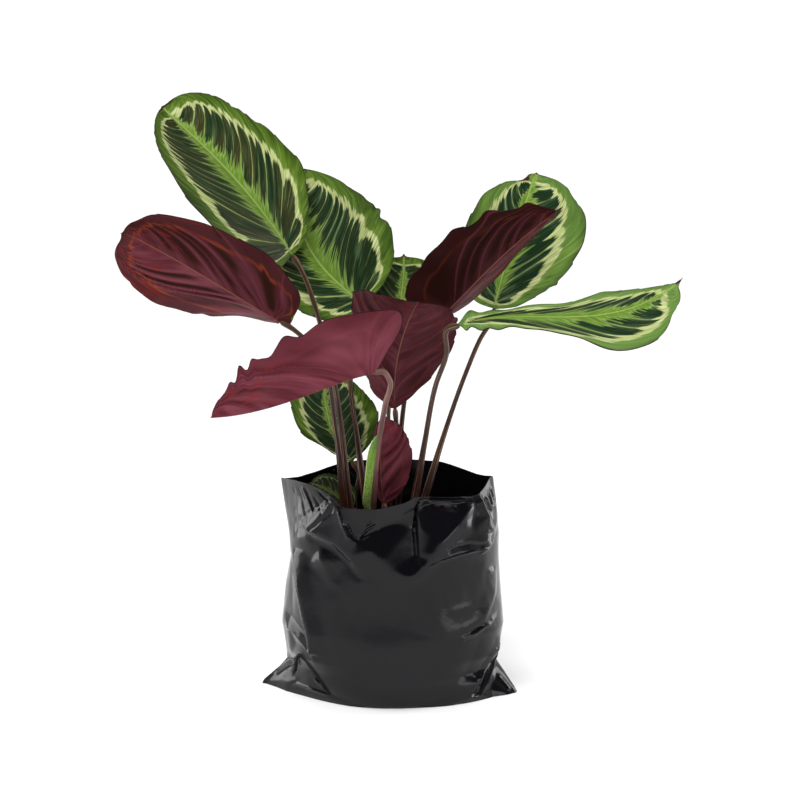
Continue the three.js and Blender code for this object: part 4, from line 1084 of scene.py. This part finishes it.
def facetPush(groups, creases, x, z):   # how far the facets push the film in at x and z
    points = [point for group in groups.values() for point in group]
    names = [(name, k) for name, group in groups.items() for k in range(len(group))]
    edges = []
    for crease in creases:
        words = [(word.rstrip(ascii_uppercase), word) for word in crease.split()]
        ends = [names.index((name, ascii_uppercase.index(letter))) for name, word in words
                for letter in word[len(name):]]
        edges += list(zip(ends, ends[1:]))
    corners = [Vector(point[:2]) for point in points]
    places, _, faces, origins, _, _ = delaunay_2d_cdt(corners, edges, [], 0, 0.01)
    pushes = [np.mean([points[k][2] for k in origin]) if origin else 0.0 for origin in origins]
    push = np.zeros_like(x)
    for face in faces:
        (ax, ay), (bx, by), (cx, cy) = [places[k] for k in face]
        area = (bx - ax) * (cy - ay) - (cx - ax) * (by - ay)
        f = ((x - ax) * (cy - ay) - (cx - ax) * (z - ay)) / area
        g = ((bx - ax) * (z - ay) - (x - ax) * (by - ay)) / area
        inside = (f >= -1e-6) & (g >= -1e-6) & (f + g <= 1 + 1e-6)
        value = pushes[face[0]] * (1 - f - g) + pushes[face[1]] * f + pushes[face[2]] * g
        push = np.where(inside, value, push)
    return push


# how far a place is from a line, how far along it, how long that is, and whether it lies on the line's left
def grooveAway(line, x, z):
    best, place, left, run = np.full(x.shape, 1e9), np.zeros_like(x), np.zeros(x.shape, bool), 0.0
    for (ax, az), (bx, bz) in zip(line, line[1:]):
        long = math.hypot(bx - ax, bz - az)
        f = np.clip(((x - ax) * (bx - ax) + (z - az) * (bz - az)) / long ** 2, 0, 1)
        away = np.hypot(x - mix(ax, bx, f), z - mix(az, bz, f))
        nearer = away < best
        place = np.where(nearer, run + f * long, place)
        left = np.where(nearer, (bx - ax) * (z - az) > (bz - az) * (x - ax), left)
        best = np.minimum(best, away)
        run += long
    return best, place, run, left


def grooveEnds(place, run):     # 1 along a groove, and less at both ends
    return smooth(-1, bagShape["grooveTaper"], place) * smooth(-1, bagShape["grooveTaper"], run - place)


def groovePush(grooves, x, z):
    push = np.zeros_like(x)
    for wideLeft, wideRight, deep, *line in grooves:
        away, place, run, left = grooveAway(line, x, z)
        push += deep * np.maximum(0, 1 - away / np.where(left, wideLeft, wideRight)) * grooveEnds(place, run)
    return push


def fanPush(x, z, side):
    push = np.zeros_like(x)
    for where, (atX, atZ), way, spread, long, count, depth in bagShape["fans"]:
        if where != side:
            continue
        away = np.hypot(x - atX, z - atZ)
        turn = (np.degrees(np.arctan2(z - atZ, x - atX)) - way + 540) % 360 - 180
        pleat = 2 * np.abs((turn / spread * count) % 1 - 0.5) - 0.5
        window = np.clip(1 - np.abs(2 * turn / spread) ** 2, 0, 1) * smooth(0, 0.2, away / long)
        push += depth * pleat * (window * bell(away, long))
    return push


def wrinklePush(arc, z, girth):     # small straight creases all round the bag
    shape = bagShape
    random = np.random.default_rng(shape["wrinkleSeed"])
    push = np.zeros_like(z)
    for _ in range(shape["wrinkles"]):
        at, height = random.uniform(0, girth), random.uniform(*shape["wrinkleHeight"])
        lean = math.radians(random.normal(0, shape["wrinkleLean"]))
        depth, wide, long = (random.uniform(*shape["wrinkle" + key]) for key in ("Depth", "Wide", "Long"))
        depth *= random.choice((-1, 1))
        du, dz = (arc - at + girth / 2) % girth - girth / 2, z - height
        lengthwise = du * math.sin(lean) + dz * math.cos(lean)
        across = du * math.cos(lean) - dz * math.sin(lean)
        push += depth * np.maximum(0, 1 - np.abs(across) / wide) * bell(lengthwise, long)
    return push


def bagPush(x, z, isFront, share):
    shape = bagShape
    push = np.zeros_like(x)
    beside = smooth(*shape["plainBeside"], np.abs(share))
    steady = 1 - smooth(*shape["plainFrom"], z) * smooth(*shape["plainTo"], z) * beside
    for side, pick in (("front", isFront), ("back", ~isFront)):
        sx, sz = x[pick], z[pick]
        points, creases = shape[side + "Points"], shape[side + "Creases"]
        # the film bends over each crease in a small curve
        total = np.zeros_like(sx)
        for dx, dz in ((1, 0), (-1, 0), (0, 1), (0, -1)):
            total += facetPush(points, creases, sx + dx * shape["soften"], sz + dz * shape["soften"]) / 4
        folds = groovePush(shape[side + "Grooves"], sx, sz) + fanPush(sx, sz, side)
        push[pick] = total + folds * steady[pick]
    for atX, atZ, depth, wide, tall in shape["dents"]:
        push += depth * bell(x - atX, wide) * bell(z - atZ, tall)
    return push


# the outline before the folds: x and y as shares, the half width and depth, and how much the folds count
def bagSection(angle, z):
    table = np.array(bagShape["levels"], float)
    left, right, front, back, *points = [np.interp(z, table[:, 0], table[:, k]) for k in range(1, 7)]
    c, s = np.cos(np.radians(angle)), np.sin(np.radians(angle))
    x = np.sign(c) * np.abs(c) ** bagShape["roundness"]
    # low down the back is drawn in to the corners more than the front
    more = 1 + bagShape["backPoint"] * (s > 0) * (1 - smooth(0, bagShape["backPointUpTo"], z))
    y = np.sign(s) * np.abs(s) ** (np.where(c < 0, *points) * more)
    sideways, deep = np.where(c < 0, left, right), np.where(s < 0, front, back)
    return x, y, sideways, deep, np.clip(np.abs(s) * 4, 0, 1)


def bagPoint(angle, z, inset=0.0):
    shape = bagShape
    x, y, sideways, deep, hold = bagSection(angle, z)
    push = inset + bagPush(x * sideways, z, y < 0, x) * hold
    out = np.abs(x) * (sideways - inset) - shape["earFrom"]
    ear = np.clip(out / shape["earRun"], 0, 1) * (z < shape["earBelow"])
    forward = np.where(x < 0, *shape["cornerForward"]) * ear
    return np.stack([x * (sideways - push), y * (deep - push) - forward, z], -1)


def rimHeight(angle):   # the height of the film's edge, from the tables for the front and the back
    fine = np.linspace(0, 360, 721)
    c = np.cos(np.radians(fine))
    x = np.sign(c) * np.abs(c) ** bagShape["roundness"] * bagShape["rimHalf"]
    front, back = [np.array(bagShape[key], float) for key in ("frontRim", "backRim")]
    height = np.where(np.sin(np.radians(fine)) < 0, np.interp(x, *front.T), np.interp(x, *back.T))
    for _ in range(bagShape["rimPasses"]):
        height[1:-1] = (height[:-2] + 2 * height[1:-1] + height[2:]) / 4
    return np.interp(angle % 360, fine, height)


def makeBag(material):
    shape = bagShape
    # the flat grid starts at the middle of the back, with more columns at the front and round the side folds
    fine = np.linspace(90, 450, 3601)
    share = np.cumsum(1 + shape["frontFiner"] * (1 - np.sin(np.radians(fine))) / 2
                      + shape["foldFiner"] * np.cos(np.radians(fine)) ** 8)
    share = (share - share[0]) / (share[-1] - share[0])

    def onBag(flat):    # a place on the grid as an angle and a height
        angle = np.interp(flat[:, 0] + 0.5, share, fine)
        return angle, rimHeight(angle) * (flat[:, 1] + 0.5)

    piece = addGrid("nurseryBag", shape["columns"], shape["rows"])
    refineBag(piece, onBag)
    flat = readVectors(piece.data.vertices, "co")
    angle, height = onBag(flat)
    points = bagPoint(angle, height)
    around = bagPoint(fine, np.full_like(fine, shape["girthAt"]))
    arc = np.concatenate([[0], np.cumsum(np.linalg.norm(np.diff(around, axis=0), axis=1))])
    outward = around[:, :2] / np.linalg.norm(around[:, :2], axis=1)[:, None]
    push = wrinklePush(np.interp(angle, fine, arc), height, arc[-1]) * smooth(0, 6, height)
    for k in range(2):
        points[:, k] -= push * np.interp(angle, fine, outward[:, k])
    writePlaces(piece.data, points * mm)
    writeUv(piece, "bagMap", flat[:, :2] + 0.5)
    writeValue(piece, "tuck", tuckShade(angle, height))
    piece.data.materials.append(material)
    editMesh(piece, (bpy.ops.mesh.remove_doubles, dict(threshold=0.00001)))
    closeBottom(piece)
    editMesh(piece, (bpy.ops.mesh.normals_make_consistent, dict(inside=False)))
    if min(piece.data.polygons, key=lambda face: face.center.z).normal.z > 0:   # the bottom has to look down
        editMesh(piece, (bpy.ops.mesh.flip_normals, {}))
    applyModifier(piece, "SOLIDIFY", thickness=shape["film"] * mm, offset=-1)
    smoothShade(piece, shape["sharpEdge"])
    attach(piece, "root")
    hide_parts("bag")
    return piece


def tuckShade(angle, z):    # 1 in the mouth of a tuck of the front, 0 beside it
    x, y, sideways, _, _ = bagSection(angle, z)
    shade = np.zeros_like(z)
    for wide, *line in bagShape["tucks"]:
        away, place, run, _ = grooveAway(line, x * sideways, z)
        shade = np.maximum(shade, grooveEnds(place, run) * smooth(wide, 0.5 * wide, away))
    return np.where(y < 0, shade, 0.0)


def refineBag(piece, onBag):    # smaller faces along the narrow grooves
    shape = bagShape
    angle, z = onBag(readVectors(piece.data.polygons, "center"))
    x, y, sideways, _, _ = bagSection(angle, z)
    near = np.zeros(len(x), bool)
    for side, pick in (("front", y < 0), ("back", y >= 0)):
        for wideLeft, wideRight, _, *line in shape[side + "Grooves"]:
            if min(wideLeft, wideRight) < shape["refineNarrow"]:
                away, _, _, left = grooveAway(line, x * sideways, z)
                wide = np.minimum(np.where(left, wideLeft, wideRight), shape["refineWide"])
                near |= pick & (away < wide + shape["refineWithin"])
    selectOnly(piece, "FACE", piece.data.polygons, near)
    bpy.ops.mesh.subdivide(number_cuts=shape["cuts"])
    bpy.ops.object.mode_set(mode="OBJECT")


def selectOnly(piece, kind, elements, chosen):  # into edit mode with only these selected
    activate(piece)
    bpy.ops.object.mode_set(mode="EDIT")
    bpy.ops.mesh.select_mode(type=kind)
    bpy.ops.mesh.select_all(action="DESELECT")
    bpy.ops.object.mode_set(mode="OBJECT")
    elements.foreach_set("select", chosen)
    bpy.ops.object.mode_set(mode="EDIT")


def closeBottom(piece):     # one face over the ring that lies on the ground
    mesh = piece.data
    lowest = [all(mesh.vertices[k].co.z < 0.00001 for k in edge.vertices) for edge in mesh.edges]
    selectOnly(piece, "EDGE", mesh.edges, lowest)
    bpy.ops.mesh.edge_face_add()
    bpy.ops.object.mode_set(mode="OBJECT")


def bagMaterial():
    make = Nodes("blackPolythene")
    place = make.objectPlace()
    crinkle = make.noise(place, 55, 3, 0.5)
    soft = make.noise(place, 13, 2)
    tuck = make.attribute("tuck")
    # painted shade: the film turns black and rough in the mouth of each tuck, where no light comes out
    colour = make.cover(make.blend(soft, tint(6, 6, 9), tint(12, 12, 16)), tint(2, 2, 3), tuck)
    rough = make.calc("MULTIPLY_ADD", tuck, 0.8, make.scale(crinkle, 0.1, 0.2))
    return make.finish(colour, rough, make.calc("MULTIPLY_ADD", soft, 3.0, crinkle), 0.14, 0.002,
                       Specular_IOR_Level=0.27)


# soil: a filling of the bag with a lumpy top
soilShape = dict(
    top=157, edgeDrop=6, dip=4, crown=5, inset=3.4, cornerInset=24, cornerFrom=(55, 25), foot=3, footInset=3,
    footBelow=6, lump=1.2, grain=0.7, seed=5, rings=36, sides=160, walls=26,
)


def makeSoil(material):
    shape = soilShape
    angle = 360 * np.arange(shape["sides"] + 1) / shape["sides"]
    corner = shape["cornerInset"] * smooth(0.5, 1, np.abs(np.cos(np.radians(angle))))

    def wall(z):    # just inside the film, and well inside the drawn out corners of the base
        inset = shape["inset"] + shape["footInset"] * (z < shape["footBelow"])
        return bagPoint(angle, np.full_like(angle, z), inset + corner * smooth(*shape["cornerFrom"], z))

    walls = [wall(z) for z in np.linspace(shape["foot"], shape["top"] - shape["edgeDrop"], shape["walls"])]
    edge = walls[-1]
    random = np.random.default_rng(shape["seed"])
    tops = []
    for k in range(1, shape["rings"]):
        share = 1 - k / shape["rings"]
        ring = edge * share
        x, y = ring[:, 0], ring[:, 1]
        lump = shape["lump"] * (np.sin(x / 7 + 1.3 * np.sin(y / 9)) + np.sin(y / 6 + 1.1 * np.sin(x / 11)))
        grain = random.normal(0, shape["grain"], len(x))
        grain[-1] = grain[0]
        level = shape["top"] - shape["dip"] + shape["crown"] * (1 - share)
        ring[:, 2] = level + (lump + grain) * min(1, 3 * (1 - share))
        tops.append(ring)
    points = np.array(walls + tops)
    points[:, -1] = points[:, 0]
    piece = addGrid("pottingSoil", shape["sides"], len(points) - 1)
    placeGrid(piece, points)
    piece.data.materials.append(material)
    closeTube(piece)
    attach(piece, "root")
    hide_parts("soil")
    return piece


def soilMaterial():
    make = Nodes("darkPeat")
    place = make.objectPlace()
    crumbs = make.noise(place, 420, 5, 0.7)
    patches = make.noise(place, 70, 3)
    colour = make.ramp(crumbs, [(0.3, tint(20, 14, 10)), (0.55, tint(48, 34, 24)), (0.75, tint(84, 62, 44))])
    colour = make.cover(colour, tint(30, 22, 16), patches, 0.4)
    return make.finish(colour, 0.92, crumbs, 0.8, 0.003)


setCamera()
setStudio()
print("camera, floor and lights set")
bladeSkins = [leafTopMaterial(), leafUnderMaterial()]
stalkSkin = stalkMaterial()
print("materials made")
for letter, leaf in leaves.items():
    blade = makeBlade(letter, leaf, bladeSkins)
    makeStalk(letter, leaf, stalkSkin)
    print("leaf", letter, "made")
makeSheath(sheathMaterial())
bag = makeBag(bagMaterial())
print("bag made with", len(bag.data.polygons), "faces")
makeSoil(soilMaterial())
print("soil made")
